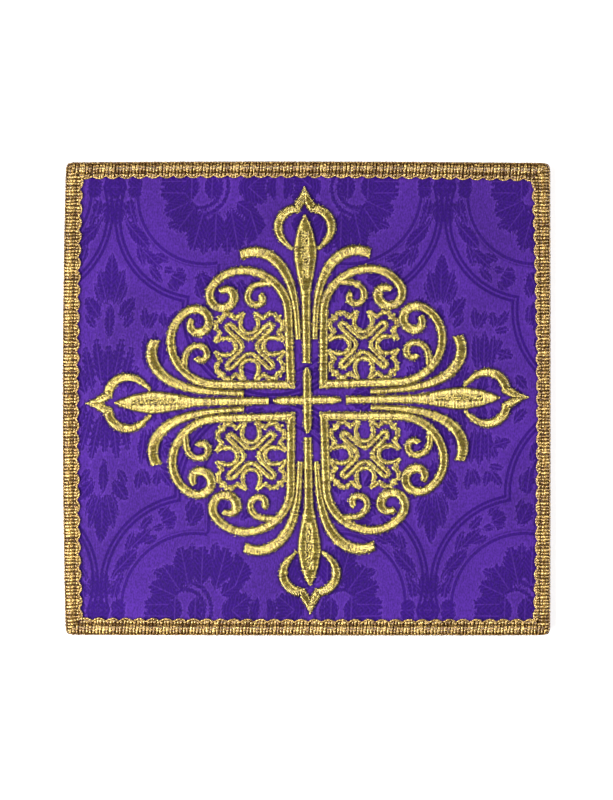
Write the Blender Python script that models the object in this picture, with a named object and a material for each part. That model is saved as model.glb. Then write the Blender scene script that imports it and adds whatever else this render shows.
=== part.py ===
"""Chalice veil: a small stiffened square of purple damask with a couched gold cross.

A flat panel of damask lies face up. A gold gimp braid is sewn round its edge, and the
cross is worked on its face in raised satin stitch: a centre cross, four spears inside
lily tips, eight horns, four frame strokes that end in scrolls, eight small scrolls and
four squares of knotted tracery.

Metres, +Z up. X runs along the panel's width and Y up the face as it is worn. The origin
is at the middle of the underside, so the panel rests on Z = 0.
"""

import math
from collections import namedtuple

import bmesh
import bpy
import numpy as np

MM = 0.001

# Layers, in mm from the surface that the veil lies on
PANEL_THICK = 2.2
CROWN = 0.4
CROWN_REACH = (74.0, 72.0)
SEWN_GAP = 0.3
UNDERSIDE_INSET = 1.7
EDGE_ROUND = 0.35
FACE_RIM = 1.3
FACE_INSETS = (8.0, 16.0, 26.0, 38.0, 52.0, 66.0)
PANEL_STEPS_A_SIDE = 16
BRAID_OVERHANG = 0.7
CORNER_RADIUS = 1.8
CORNER_PULL = 0.3
CORNER_SPREAD = 1.5

# Braid, in mm
SCALLOPS_A_SIDE = 32
SCALLOP_POINTS = 3
SCALLOP_DEPTH = 0.9

# Stitched lines, in mm
SATIN_HEIGHT = 0.75
TRACERY_HEIGHT = 0.55
TRACERY_WIDTH = 1.0
ROUND_STEP_DEGREES = 20.0
STRAIGHT_STEP = 6.0
LONGEST_MITRE = 1.8

# The worked cross lies a little off centre, leans, and is drawn out of square
CROSS_CENTRE = (0.26, -0.6)
CROSS_LEAN_DEGREES = 0.8
CROSS_STRETCH = (1.019, 0.982)

# Each side of the border, counter-clockwise from the right: how far out its edge lies
# and how wide its braid is, at the side's start, middle and end
Side = namedtuple("Side", "name out_start out_middle out_end wide_start wide_middle wide_end")
SIDES = (
    Side("right", 80.2, 80.3, 80.2, 6.5, 5.2, 7.1),
    Side("top", 77.5, 78.0, 77.7, 6.9, 6.0, 6.3),
    Side("left", 79.2, 80.3, 79.3, 6.6, 6.0, 6.5),
    Side("bottom", 77.8, 78.0, 77.9, 6.4, 6.0, 6.0),
)

# Section of the braid, outer edge to inner edge: share of its width, height in mm
Course = namedtuple("Course", "across height")
BRAID_COURSES = (
    Course(0.00, 0.00),
    Course(0.05, 0.90),
    Course(0.34, 1.35),
    Course(0.66, 0.75),
    Course(0.86, 1.20),
    Course(1.00, 0.00),
)

# Section of a stitched line: share of its width, share of its height
ROUND_SECTION = (
    Course(-0.5, 0.0),
    Course(-0.36, 0.72),
    Course(0.0, 1.0),
    Course(0.36, 0.72),
    Course(0.5, 0.0),
)
FLAT_SECTION = (
    Course(-0.5, 0.0),
    Course(-0.28, 1.0),
    Course(0.28, 1.0),
    Course(0.5, 0.0),
)

# A drawn line is a start, a heading and a row for each bend: its length in mm, how far
# it turns in degrees (left is positive), and the width in mm that it ends with
Start = namedtuple("Start", "x y heading width")
Bend = namedtuple("Bend", "run turn width")

SPEAR_BASE = 12.4
SpearRow = namedtuple("SpearRow", "out width")
SPEAR = (
    SpearRow(SPEAR_BASE, 2.4),
    SpearRow(30.0, 2.6),
    SpearRow(36.0, 2.9),
    SpearRow(43.0, 5.5),
    SpearRow(47.0, 6.9),
    SpearRow(50.5, 7.3),
    SpearRow(56.3, 5.1),
    SpearRow(59.9, 2.7),
    SpearRow(62.2, 0.5),
)

LILY_START = Start(4.8, 49.4, 42.0, 1.3)
LILY = (
    Bend(3.5, 5.0, 1.9),
    Bend(6.2, 46.0, 2.8),
    Bend(3.3, 26.0, 2.8),
    Bend(5.9, 74.0, 2.9),
    Bend(0.0, -66.0, 2.7),
    Bend(6.2, 0.0, 2.8),
)

HORN_START = Start(2.65, 20.4, 88.0, 1.6)
HORN = (
    Bend(9.0, -2.5, 1.8),
    Bend(8.3, -10.0, 2.4),
    Bend(6.4, -14.0, 3.0),
    Bend(5.5, -22.0, 3.3),
    Bend(5.4, -30.0, 3.4),
    Bend(6.3, -42.0, 2.8),
)

FRAME_START = Start(5.3, 5.3, 89.0, 2.6)
FRAME = (
    Bend(24.0, 0.0, 2.6),
    Bend(22.9, -89.0, 2.6),
    Bend(12.0, -59.0, 2.6),
    Bend(6.4, -78.0, 2.7),
    Bend(9.0, -133.0, 2.9),
    Bend(3.8, -90.0, 2.3),
    Bend(2.4, -36.0, 1.7),
)

SCROLL_START = Start(11.9, 38.2, 8.0, 1.2)
SCROLL = (
    Bend(3.0, -16.0, 1.7),
    Bend(6.2, -82.0, 1.9),
    Bend(4.5, -90.0, 1.9),
    Bend(3.5, -90.0, 1.9),
    Bend(1.8, -60.0, 1.3),
)

# Tracery squares: four notches open at the sides, and inside them one line of four
# hollow arcs and four fingers
TRACERY_CENTRE = 18.35
NOTCH_RADIUS = 2.55
NOTCH_DEPTH_CENTRE = 6.5
INNER_ARC_RADIUS = 3.85
FINGER_END = 9.4
FINGER_RADIUS = NOTCH_DEPTH_CENTRE / math.sqrt(2) - INNER_ARC_RADIUS
FINGER_RUN = FINGER_END - NOTCH_DEPTH_CENTRE / math.sqrt(2)

NOTCH_START = Start(0.0, NOTCH_DEPTH_CENTRE - NOTCH_RADIUS, 0.0, TRACERY_WIDTH)
NOTCH_TO_CORNER = (
    Bend(NOTCH_RADIUS * math.pi / 2, 90.0, TRACERY_WIDTH),
    Bend(3.6, 0.0, TRACERY_WIDTH),
    Bend(0.0, -124.0, TRACERY_WIDTH),
    Bend(2.1, 0.0, TRACERY_WIDTH),
    Bend(0.0, 68.0, TRACERY_WIDTH),
    Bend(2.0, 0.0, TRACERY_WIDTH),
    Bend(0.0, -52.0, TRACERY_WIDTH),
    Bend(3.4, 0.0, TRACERY_WIDTH),
)

FINGER_START = Start(0.0, NOTCH_DEPTH_CENTRE - INNER_ARC_RADIUS, 0.0, TRACERY_WIDTH)
FINGER_HALF = (
    Bend(INNER_ARC_RADIUS * math.pi / 4, 45.0, TRACERY_WIDTH),
    Bend(FINGER_RUN, 0.0, TRACERY_WIDTH),
    Bend(FINGER_RADIUS * math.pi / 2, -90.0, TRACERY_WIDTH),
)

# Centre cross, in mm from its middle
CROSS_HALF_LENGTH = 10.9
CROSS_HALF_WIDTH = 1.3
CROSS_POINT = 1.8
CROSS_TIP_HALF = 0.35
Bevel = namedtuple("Bevel", "inset height")
CROSS_BEVELS = (Bevel(0.0, 0.0), Bevel(0.15, 0.6), Bevel(0.32, 1.0))

# Finishes: base colour, metallic share and roughness
Finish = namedtuple("Finish", "colour metallic roughness")
DAMASK = Finish((0.09, 0.035, 0.35), 0.0, 0.6)
GOLD_THREAD = Finish((0.62, 0.46, 0.13), 0.6, 0.42)
GOLD_BRAID = Finish((0.50, 0.33, 0.10), 0.6, 0.45)


def clear_scene():
    """Remove what is in the scene."""
    for thing in list(bpy.data.objects):
        bpy.data.objects.remove(thing, do_unlink=True)


def make_material(name, finish):
    """Make a Principled material from a finish."""
    material = bpy.data.materials.new(name)
    material.use_nodes = True
    shader = material.node_tree.nodes["Principled BSDF"]
    shader.inputs["Base Color"].default_value = (*finish.colour, 1.0)
    shader.inputs["Metallic"].default_value = finish.metallic
    shader.inputs["Roughness"].default_value = finish.roughness
    return material


def make_object(name, points, faces, finish):
    """Make a named object from points in mm and faces, with its normals outward."""
    mesh = bpy.data.meshes.new(name)
    mesh.from_pydata([tuple(point) for point in np.asarray(points) * MM], [], faces)
    shell = bmesh.new()
    shell.from_mesh(mesh)
    bmesh.ops.triangulate(shell, faces=list(shell.faces))
    bmesh.ops.recalc_face_normals(shell, faces=list(shell.faces))
    shell.to_mesh(mesh)
    shell.free()
    mesh.materials.append(make_material(name + "_finish", finish))
    mesh.shade_smooth()
    mesh.set_sharp_from_angle(angle=math.radians(40))
    thing = bpy.data.objects.new(name, mesh)
    bpy.context.collection.objects.link(thing)
    return thing


def ring_faces(rings, around, closed_section):
    """Give the quads that join `rings` rings of `around` points, and back to the first."""
    last = around if closed_section else around - 1
    faces = []
    for ring in range(rings):
        here = ring * around
        there = here + around
        for k in range(last):
            after = (k + 1) % around
            faces.append((here + k, there + k, there + after, here + after))
    return faces


def face_height(x, y):
    """Height of the panel's face in mm: flat at the rim, with a low crown in the middle."""
    across = np.clip(1 - (np.asarray(x) / CROWN_REACH[0]) ** 2, 0, None)
    along = np.clip(1 - (np.asarray(y) / CROWN_REACH[1]) ** 2, 0, None)
    return PANEL_THICK + CROWN * across * along


def through_three(start, middle, end, share):
    """Value of the curve that passes through three values, at a share of its length."""
    bow = 4 * (middle - (start + end) / 2)
    return start + (end - start) * share + bow * share * (1 - share)


def border_point(number, share, inset):
    """Point of side `number` of the border, at a share of it, some mm in from the edge.

    The side runs between the corners of its neighbours, and the outer corners are
    rounded off by CORNER_RADIUS.
    """
    side, before, after = (SIDES[(number + k) % 4] for k in (0, -1, 1))
    low = -(before.out_end - inset)
    high = after.out_start - inset
    along = low + (high - low) * share
    out = through_three(side.out_start, side.out_middle, side.out_end, share) - inset
    near = min(along - low, high - along)
    radius = max(CORNER_RADIUS - inset, 0.0)
    pull = CORNER_PULL * radius * max(1 - near / (CORNER_SPREAD * CORNER_RADIUS), 0.0) ** 2
    out -= pull
    along -= math.copysign(pull, share - 0.5)
    turn = number * math.pi / 2
    return (
        out * math.cos(turn) - along * math.sin(turn),
        out * math.sin(turn) + along * math.cos(turn),
    )


def make_panel():
    """Damask panel: rings from the flat underside round the turned edge to the crown."""
    edge = BRAID_OVERHANG
    levels = (
        (edge + UNDERSIDE_INSET, 0.0),
        (edge + EDGE_ROUND, EDGE_ROUND),
        (edge, PANEL_THICK / 2),
        (edge + EDGE_ROUND, PANEL_THICK - EDGE_ROUND),
        (edge + FACE_RIM, PANEL_THICK),
    )
    steps = PANEL_STEPS_A_SIDE
    around = 4 * steps
    points = []
    for inset, height in levels:
        for place in range(around):
            x, y = border_point(place // steps, (place % steps) / steps, inset)
            points.append((x, y, height))
    for inset in FACE_INSETS:
        for place in range(around):
            x, y = border_point(place // steps, (place % steps) / steps, inset)
            points.append((x, y, float(face_height(x, y))))
    rings = len(levels) + len(FACE_INSETS)
    faces = ring_faces(rings - 1, around, True)
    faces.append(tuple(range(around)))
    middle = len(points)
    points.append((0.0, 0.0, float(face_height(0.0, 0.0))))
    last = (rings - 1) * around
    faces += [(last + k, last + (k + 1) % around, middle) for k in range(around)]
    return make_object("panel", points, faces, DAMASK)


def make_braid():
    """Gimp braid: one ridged band round the panel, with a scalloped inner edge."""
    foot = PANEL_THICK + SEWN_GAP
    steps = SCALLOPS_A_SIDE * SCALLOP_POINTS
    points = []
    for number, side in enumerate(SIDES):
        for step in range(steps):
            share = step / steps
            width = through_three(side.wide_start, side.wide_middle, side.wide_end, share)
            if step == 0:
                width = (SIDES[number - 1].wide_end + side.wide_start) / 2
            elif step % SCALLOP_POINTS == 0:
                width -= SCALLOP_DEPTH
            for course in BRAID_COURSES:
                x, y = border_point(number, share, width * course.across)
                points.append((x, y, foot + course.height))
    around = len(BRAID_COURSES)
    rings = 4 * steps
    faces = ring_faces(rings - 1, around, True)
    last = (rings - 1) * around
    faces += [(last + k, k, (k + 1) % around, last + (k + 1) % around) for k in range(around)]
    return make_object("braid", points, faces, GOLD_BRAID)


def draw_line(start, bends):
    """Follow a start and its bends. Gives points and widths in mm, one a step.

    Each bend is an arc of even curvature; a bend with no length is a sharp corner.
    """
    heading = math.radians(start.heading)
    points = [(start.x, start.y)]
    widths = [start.width]
    for bend in bends:
        turn = math.radians(bend.turn)
        if bend.run > 0:
            steps = max(
                1,
                math.ceil(abs(bend.turn) / ROUND_STEP_DEGREES),
                math.ceil(bend.run / STRAIGHT_STEP),
            )
            stride = bend.run / steps
            if turn:
                stride *= math.sin(turn / steps / 2) / (turn / steps / 2)
            first = widths[-1]
            for step in range(1, steps + 1):
                toward = heading + turn * (step - 0.5) / steps
                x, y = points[-1]
                points.append((x + stride * math.cos(toward), y + stride * math.sin(toward)))
                widths.append(first + (bend.width - first) * step / steps)
        heading += turn
    return np.array(points), np.array(widths)


def both_halves(points, widths):
    """Join a line to its mirror image in the diagonal, where the line starts."""
    mirrored = points[:0:-1, ::-1]
    return np.concatenate([mirrored, points]), np.concatenate([widths[:0:-1], widths])


def round_four(points, widths):
    """Close a line that runs from the Y axis to the diagonal into a ring of four."""
    meeting = points[-1].mean()
    half = np.concatenate([points[:-1], [(meeting, meeting)]])
    quarter = np.concatenate([half, half[-2:0:-1, ::-1]])
    quarter_widths = np.concatenate([widths, widths[-2:0:-1]])
    turned = []
    x, y = quarter.T
    for _ in range(4):
        turned.append(np.column_stack([x, y]))
        x, y = y, -x
    return np.concatenate(turned), np.tile(quarter_widths, 4)


def lay_on_face(points, quarter):
    """Turn drawn points into their quarter of the cross, and lay them as it was worked."""
    turn = quarter * math.pi / 2
    x = points[:, 0] * math.cos(turn) - points[:, 1] * math.sin(turn)
    y = points[:, 0] * math.sin(turn) + points[:, 1] * math.cos(turn)
    x, y = x * CROSS_STRETCH[0], y * CROSS_STRETCH[1]
    lean = math.radians(CROSS_LEAN_DEGREES)
    return np.column_stack([
        x * math.cos(lean) - y * math.sin(lean) + CROSS_CENTRE[0],
        x * math.sin(lean) + y * math.cos(lean) + CROSS_CENTRE[1],
    ])


def side_vectors(points, closed):
    """Unit vectors to the left of a line at each point, longer where it turns a corner."""
    if closed:
        along = np.roll(points, -1, axis=0) - points
        along /= np.linalg.norm(along, axis=1)[:, None]
        arriving, leaving = np.roll(along, 1, axis=0), along
    else:
        along = np.diff(points, axis=0)
        along /= np.linalg.norm(along, axis=1)[:, None]
        arriving = np.concatenate([along[:1], along])
        leaving = np.concatenate([along, along[-1:]])
    middle = arriving + leaving
    length = np.linalg.norm(middle, axis=1)[:, None]
    reach = np.minimum(2 / length, LONGEST_MITRE)
    return np.column_stack([-middle[:, 1], middle[:, 0]]) / length * reach


def make_stitched(name, points, widths, height, section, closed=False):
    """Raised line of stitching: a domed section carried along points on the face."""
    sideways = side_vectors(points, closed)
    around = len(section)
    corners = []
    for point, side, width in zip(points, sideways, widths):
        for course in section:
            x, y = point + side * width * course.across
            level = float(face_height(x, y)) + SEWN_GAP
            corners.append((x, y, level + height * course.height))
    rings = len(points)
    faces = ring_faces(rings - 1, around, True)
    last = (rings - 1) * around
    if closed:
        faces += [(last + k, k, (k + 1) % around, last + (k + 1) % around) for k in range(around)]
    else:
        faces += [tuple(range(around)), tuple(range(last, last + around))]
    return make_object(name, corners, faces, GOLD_THREAD)


def make_centre_cross():
    """Centre cross: one raised outline of four pointed arms, with a bevelled top."""
    arm = [
        (CROSS_HALF_WIDTH, CROSS_HALF_WIDTH),
        (CROSS_HALF_WIDTH, CROSS_HALF_LENGTH - CROSS_POINT),
        (CROSS_TIP_HALF, CROSS_HALF_LENGTH),
        (-CROSS_TIP_HALF, CROSS_HALF_LENGTH),
        (-CROSS_HALF_WIDTH, CROSS_HALF_LENGTH - CROSS_POINT),
    ]
    points = np.concatenate([lay_on_face(np.array(arm), quarter) for quarter in range(4)])
    inward = side_vectors(points, True)
    corners = []
    for bevel in CROSS_BEVELS:
        for x, y in points + inward * bevel.inset:
            level = float(face_height(x, y)) + SEWN_GAP
            corners.append((x, y, level + SATIN_HEIGHT * bevel.height))
    around = len(points)
    faces = ring_faces(2, around, True)
    faces += [tuple(range(around)), tuple(range(2 * around, 3 * around))]
    return make_object("centre_cross", corners, faces, GOLD_THREAD)


def make_spears():
    """Four spears, each a stem that swells to a pointed head."""
    points = np.array([(0.0, row.out) for row in SPEAR])
    widths = np.array([row.width for row in SPEAR])
    for quarter in range(4):
        laid = lay_on_face(points, quarter)
        make_stitched(f"spear_{quarter + 1}", laid, widths, SATIN_HEIGHT, ROUND_SECTION)


def make_lilies():
    """Four lily tips: an outline from one flank of the spear over its point to the other."""
    points, widths = draw_line(LILY_START, LILY)
    points[-1, 0] = 0.0
    points = np.concatenate([points, points[-2::-1] * (-1, 1)])
    widths = np.concatenate([widths, widths[-2::-1]])
    for quarter in range(4):
        laid = lay_on_face(points, quarter)
        make_stitched(f"lily_{quarter + 1}", laid, widths, SATIN_HEIGHT, ROUND_SECTION)


def make_pairs(name, start, bends, height, section):
    """Four pairs of one drawn line, each pair mirrored in its quarter's diagonal."""
    points, widths = draw_line(start, bends)
    for quarter in range(4):
        for hand, drawn in (("a", points), ("b", points[:, ::-1])):
            laid = lay_on_face(drawn, quarter)
            make_stitched(f"{name}_{quarter + 1}{hand}", laid, widths, height, section)


def make_frames():
    """Four frame strokes: a square corner whose two arms curl over into scrolls."""
    points, widths = both_halves(*draw_line(FRAME_START, FRAME))
    for quarter in range(4):
        laid = lay_on_face(points, quarter)
        make_stitched(f"frame_{quarter + 1}", laid, widths, SATIN_HEIGHT, ROUND_SECTION)


def make_tracery():
    """Four squares of knotted tracery, each an outer and an inner ring of line."""
    outer = round_four(*draw_line(NOTCH_START, NOTCH_TO_CORNER))
    inner = round_four(*draw_line(FINGER_START, FINGER_HALF))
    for quarter in range(4):
        for name, (points, widths) in (("outer", outer), ("inner", inner)):
            laid = lay_on_face(points + TRACERY_CENTRE, quarter)
            label = f"tracery_{name}_{quarter + 1}"
            make_stitched(label, laid, widths, TRACERY_HEIGHT, FLAT_SECTION, closed=True)


def build():
    """Build every piece of the veil."""
    clear_scene()
    make_panel()
    make_braid()
    make_centre_cross()
    make_spears()
    make_lilies()
    make_pairs("horn", HORN_START, HORN, SATIN_HEIGHT, ROUND_SECTION)
    make_frames()
    make_pairs("scroll", SCROLL_START, SCROLL, SATIN_HEIGHT, FLAT_SECTION)
    make_tracery()


build()
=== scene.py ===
"""Looks of a small stiffened chalice veil: damask panel, raised gold cross and gimp braid.

Lengths in the drawings are in millimetres and meshes are in metres. X runs along the
veil's width, Y up its face, and Z out of the face that the cross is worked on.
"""

import logging
import math
from collections.abc import Sequence
from dataclasses import dataclass, field
from enum import Enum

import bpy
import numpy as np
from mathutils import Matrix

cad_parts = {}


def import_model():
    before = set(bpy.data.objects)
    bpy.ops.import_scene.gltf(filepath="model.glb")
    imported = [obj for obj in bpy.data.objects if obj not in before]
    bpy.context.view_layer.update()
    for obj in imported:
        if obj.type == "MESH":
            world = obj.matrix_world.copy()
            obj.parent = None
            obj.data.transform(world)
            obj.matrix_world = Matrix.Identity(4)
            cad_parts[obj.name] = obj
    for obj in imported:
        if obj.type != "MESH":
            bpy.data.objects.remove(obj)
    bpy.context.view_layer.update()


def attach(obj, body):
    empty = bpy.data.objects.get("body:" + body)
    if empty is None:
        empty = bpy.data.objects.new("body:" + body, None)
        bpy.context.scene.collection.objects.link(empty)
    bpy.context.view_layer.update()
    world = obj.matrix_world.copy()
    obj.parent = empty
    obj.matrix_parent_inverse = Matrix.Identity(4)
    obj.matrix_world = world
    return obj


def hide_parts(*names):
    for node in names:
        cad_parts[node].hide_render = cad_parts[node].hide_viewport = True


Array = np.ndarray
Socket = bpy.types.NodeSocket
Colour = tuple[float, float, float]
Stops = tuple[tuple[float, float], ...]
MM = 0.001
QUARTERS = range(4)
BODY = "root"
LOG = logging.getLogger("chalice_veil")


class Slot(Enum):
    """Material slots of the record."""

    DAMASK = "damask"
    THREAD = "gold_thread"
    BRAID = "gold_braid"


class Hand(Enum):
    """How a drawn line lies in its quarter: as drawn, or mirrored in the diagonal."""

    AS_DRAWN = "a"
    MIRRORED = "b"


@dataclass
class Shell:
    """A mesh being gathered: points in mm, polygons, and named values at the points."""

    points: list[Array] = field(default_factory=list)
    polygons: list[Array] = field(default_factory=list)
    values: dict[str, list[Array]] = field(default_factory=dict)
    count: int = 0

    def add(self, points: Array, polygons: list[Array], **values: Array | float) -> None:
        """Add points with their polygons.

        Args:
            points: array of any shape that ends in 3, in mm.
            polygons: arrays of point numbers, one row a polygon, counted from these points.
            values: a number or an array for each named value, one for each point.
        """
        flat = np.asarray(points, dtype=float).reshape(-1, 3)
        self.points.append(flat)
        self.polygons += [rows + self.count for rows in polygons]
        for name, value in values.items():
            spread = np.broadcast_to(np.asarray(value, dtype=float).ravel(), (len(flat),))
            self.values.setdefault(name, []).append(spread)
        self.count += len(flat)

    def make(self, name: str, material: bpy.types.Material) -> bpy.types.Object:
        """Make the object, at the origin, smooth shaded.

        Args:
            name: the object's name.
            material: its only material.

        Returns:
            The linked object.
        """
        mesh = bpy.data.meshes.new(name)
        mesh.vertices.add(self.count)
        mesh.vertices.foreach_set("co", (np.concatenate(self.points) * MM).ravel())
        corners = np.concatenate([rows.ravel() for rows in self.polygons])
        sizes = np.concatenate([np.full(len(rows), rows.shape[1]) for rows in self.polygons])
        mesh.loops.add(len(corners))
        mesh.loops.foreach_set("vertex_index", corners.astype(np.int32))
        mesh.polygons.add(len(sizes))
        starts = np.concatenate([[0], np.cumsum(sizes)[:-1]])
        mesh.polygons.foreach_set("loop_start", starts.astype(np.int32))
        mesh.update(calc_edges=True)
        for label, parts in self.values.items():
            layer = mesh.attributes.new(label, "FLOAT", "POINT")
            layer.data.foreach_set("value", np.concatenate(parts).astype(np.float32))
        mesh.shade_smooth()
        mesh.materials.append(material)
        thing = bpy.data.objects.new(name, mesh)
        bpy.context.collection.objects.link(thing)
        return thing


def unit(vectors: Array) -> Array:
    """Vectors divided by their lengths, along the last axis."""
    return vectors / np.maximum(np.linalg.norm(vectors, axis=-1, keepdims=True), 1e-9)


def tube_polygons(tubes: int, stations: int, sides: int, ring: bool = False) -> list[Array]:
    """Polygons of tubes whose points run by tube, then station, then side.

    Args:
        tubes: how many tubes.
        stations: cross sections along each.
        sides: points round each cross section.
        ring: True where the last station joins the first, so that there are no caps.

    Returns:
        The quads, and the two caps of every open tube.
    """
    first = np.arange(tubes)[:, None, None] * stations * sides
    station = np.arange(stations if ring else stations - 1)[None, :, None]
    side = np.arange(sides)[None, None, :]
    here, there = station * sides, (station + 1) % stations * sides
    beside = (side + 1) % sides
    corners = [first + here + side, first + here + beside]
    corners += [first + there + beside, first + there + side]
    quads = np.stack([corner.reshape(-1) for corner in np.broadcast_arrays(*corners)], axis=1)
    if ring:
        return [quads]
    start = first[:, 0, :] + np.arange(sides)[None, ::-1]
    end = first[:, 0, :] + (stations - 1) * sides + np.arange(sides)[None, :]
    return [quads, start, end]


def tube_points(paths: Array, sideways: Array, radius: Array | float, sides: int) -> Array:
    """Points of round tubes: centre + radius (cos a * side + sin a * up), a round the tube.

    Args:
        paths: centre lines, tubes x stations x 3, in mm.
        sideways: a direction across each path, tubes x stations x 3 or one that spreads to it.
        radius: the tube's radius, a number or tubes x stations.
        sides: points round each cross section.

    Returns:
        Points, tubes x stations x sides x 3.
    """
    along = unit(np.gradient(paths, axis=1))
    across = np.broadcast_to(sideways, paths.shape)
    across = unit(across - (across * along).sum(axis=-1, keepdims=True) * along)
    upward = np.cross(along, across)
    angle = np.arange(sides) / sides * 2 * math.pi
    reach = np.broadcast_to(radius, paths.shape[:2])[..., None, None]
    turn = np.cos(angle)[:, None] * across[:, :, None] + np.sin(angle)[:, None] * upward[:, :, None]
    return paths[:, :, None] + reach * turn


def through_three(start: float, middle: float, end: float, share: Array) -> Array:
    """Parabola through three values at shares 0, 1/2 and 1."""
    bow = 4 * (middle - (start + end) / 2)
    return start + (end - start) * share + bow * share * (1 - share)


@dataclass(frozen=True)
class Side:
    """One side of the border: how far out it lies and how wide its braid is, in mm."""

    out_start: float
    out_middle: float
    out_end: float
    wide_start: float
    wide_middle: float
    wide_end: float


@dataclass(frozen=True)
class Border:
    """The veil's four sides, counter-clockwise from the right, with rounded corners."""

    sides: tuple[Side, ...] = (
        Side(80.2, 80.3, 80.2, 6.5, 5.2, 7.1),
        Side(77.5, 78.0, 77.7, 6.9, 6.0, 6.3),
        Side(79.2, 80.3, 79.3, 6.6, 6.0, 6.5),
        Side(77.8, 78.0, 77.9, 6.4, 6.0, 6.0),
    )
    corner_radius: float = 1.8
    corner_pull: float = 0.3
    corner_spread: float = 1.5

    def ends(self, number: int) -> tuple[float, float]:
        """Where side `number` starts and ends along itself, at its outer edge."""
        return -self.sides[number - 1].out_end, self.sides[(number + 1) % 4].out_start

    def width(self, number: int, along: Array) -> Array:
        """Width of the braid: a parabola through its three measured widths.

        Args:
            number: the side, counted counter-clockwise from the right.
            along: places along the side, in mm.

        Returns:
            The width at each place, in mm.
        """
        low, high = self.ends(number)
        side = self.sides[number]
        share = (along - low) / (high - low)
        return through_three(side.wide_start, side.wide_middle, side.wide_end, share)

    def place(self, number: int, along: Array, inset: Array | float) -> Array:
        """Points in the plane, some mm in from the outer edge of a side.

        Args:
            number: the side, counted counter-clockwise from the right.
            along: places along the side, in mm.
            inset: distance in from the edge, in mm.

        Returns:
            Points, each x and y in mm.
        """
        low, high = self.ends(number)
        side = self.sides[number]
        share = (along - low) / (high - low)
        out = through_three(side.out_start, side.out_middle, side.out_end, share) - inset
        near = np.maximum(np.minimum(along - low, high - along) - inset, 0)
        radius = np.maximum(self.corner_radius - inset, 0)
        spread = self.corner_spread * self.corner_radius
        pull = self.corner_pull * radius * np.maximum(1 - near / spread, 0) ** 2
        out = out - pull
        along = along - pull * np.sign(share - 0.5)
        turn = number * math.pi / 2
        return np.stack(
            [
                out * math.cos(turn) - along * math.sin(turn),
                out * math.sin(turn) + along * math.cos(turn),
            ],
            axis=-1,
        )

    def outward(self, number: int) -> Array:
        """Unit vector out of a side, in the plane."""
        turn = number * math.pi / 2
        return np.array([math.cos(turn), math.sin(turn)])


@dataclass(frozen=True)
class Face:
    """Height of the panel's face: flat at the rim with a low crown, drawn in at stitches."""

    thick: float = 2.2
    crown: float = 0.4
    reach_x: float = 74.0
    reach_y: float = 72.0
    draw_depth: float = 0.12
    draw_reach: float = 0.9

    def height(self, x: Array, y: Array) -> Array:
        """Thickness plus crown (1 - (x/a)^2) (1 - (y/b)^2), where a and b are the reaches.

        Args:
            x: places across the veil, in mm.
            y: places up it, in mm.

        Returns:
            The height at each place, in mm over the floor.
        """
        across = np.clip(1 - (x / self.reach_x) ** 2, 0, None)
        along = np.clip(1 - (y / self.reach_y) ** 2, 0, None)
        return self.thick + self.crown * across * along

    def drawn_in(self, distance: Array) -> Array:
        """How far the cloth sinks, in mm, at a distance from the nearest stitch."""
        return self.draw_depth * np.exp(-((distance / self.draw_reach) ** 2))


@dataclass(frozen=True)
class Bend:
    """One stretch of a drawn line: length in mm, turn in degrees (left is positive) and
    the width that it ends with. A bend with no length is a sharp corner."""

    run: float
    turn: float
    width: float


@dataclass(frozen=True)
class Stitches:
    """Satin stitches laid side by side: the left and right ends of each, in mm, and
    whether it is split along the middle."""

    left: Array
    right: Array
    split: Array

    @staticmethod
    def joined(parts: list["Stitches"]) -> "Stitches":
        """All the stitches of several stretches, in order."""
        return Stitches(*(np.concatenate([getattr(part, name) for part in parts])
                          for name in ("left", "right", "split")))

    def mirrored(self) -> "Stitches":
        """The same stitches mirrored in the diagonal, with left and right kept true."""
        return Stitches(self.right[:, ::-1], self.left[:, ::-1], self.split)

    def flipped(self) -> "Stitches":
        """The same stitches mirrored in the Y axis, with left and right kept true."""
        flip = np.array([-1.0, 1.0])
        return Stitches(self.right * flip, self.left * flip, self.split)

    def moved(self, shift: float) -> "Stitches":
        """The same stitches moved along the diagonal by `shift` in x and in y."""
        return Stitches(self.left + shift, self.right + shift, self.split)

    def turned(self, quarter: int) -> "Stitches":
        """Turn the stitches round the middle.

        Args:
            quarter: how many quarter turns, counter-clockwise.

        Returns:
            The turned stitches.
        """
        turn = quarter * math.pi / 2
        spin = np.array([[math.cos(turn), math.sin(turn)], [-math.sin(turn), math.cos(turn)]])
        return Stitches(self.left @ spin, self.right @ spin, self.split)


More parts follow.
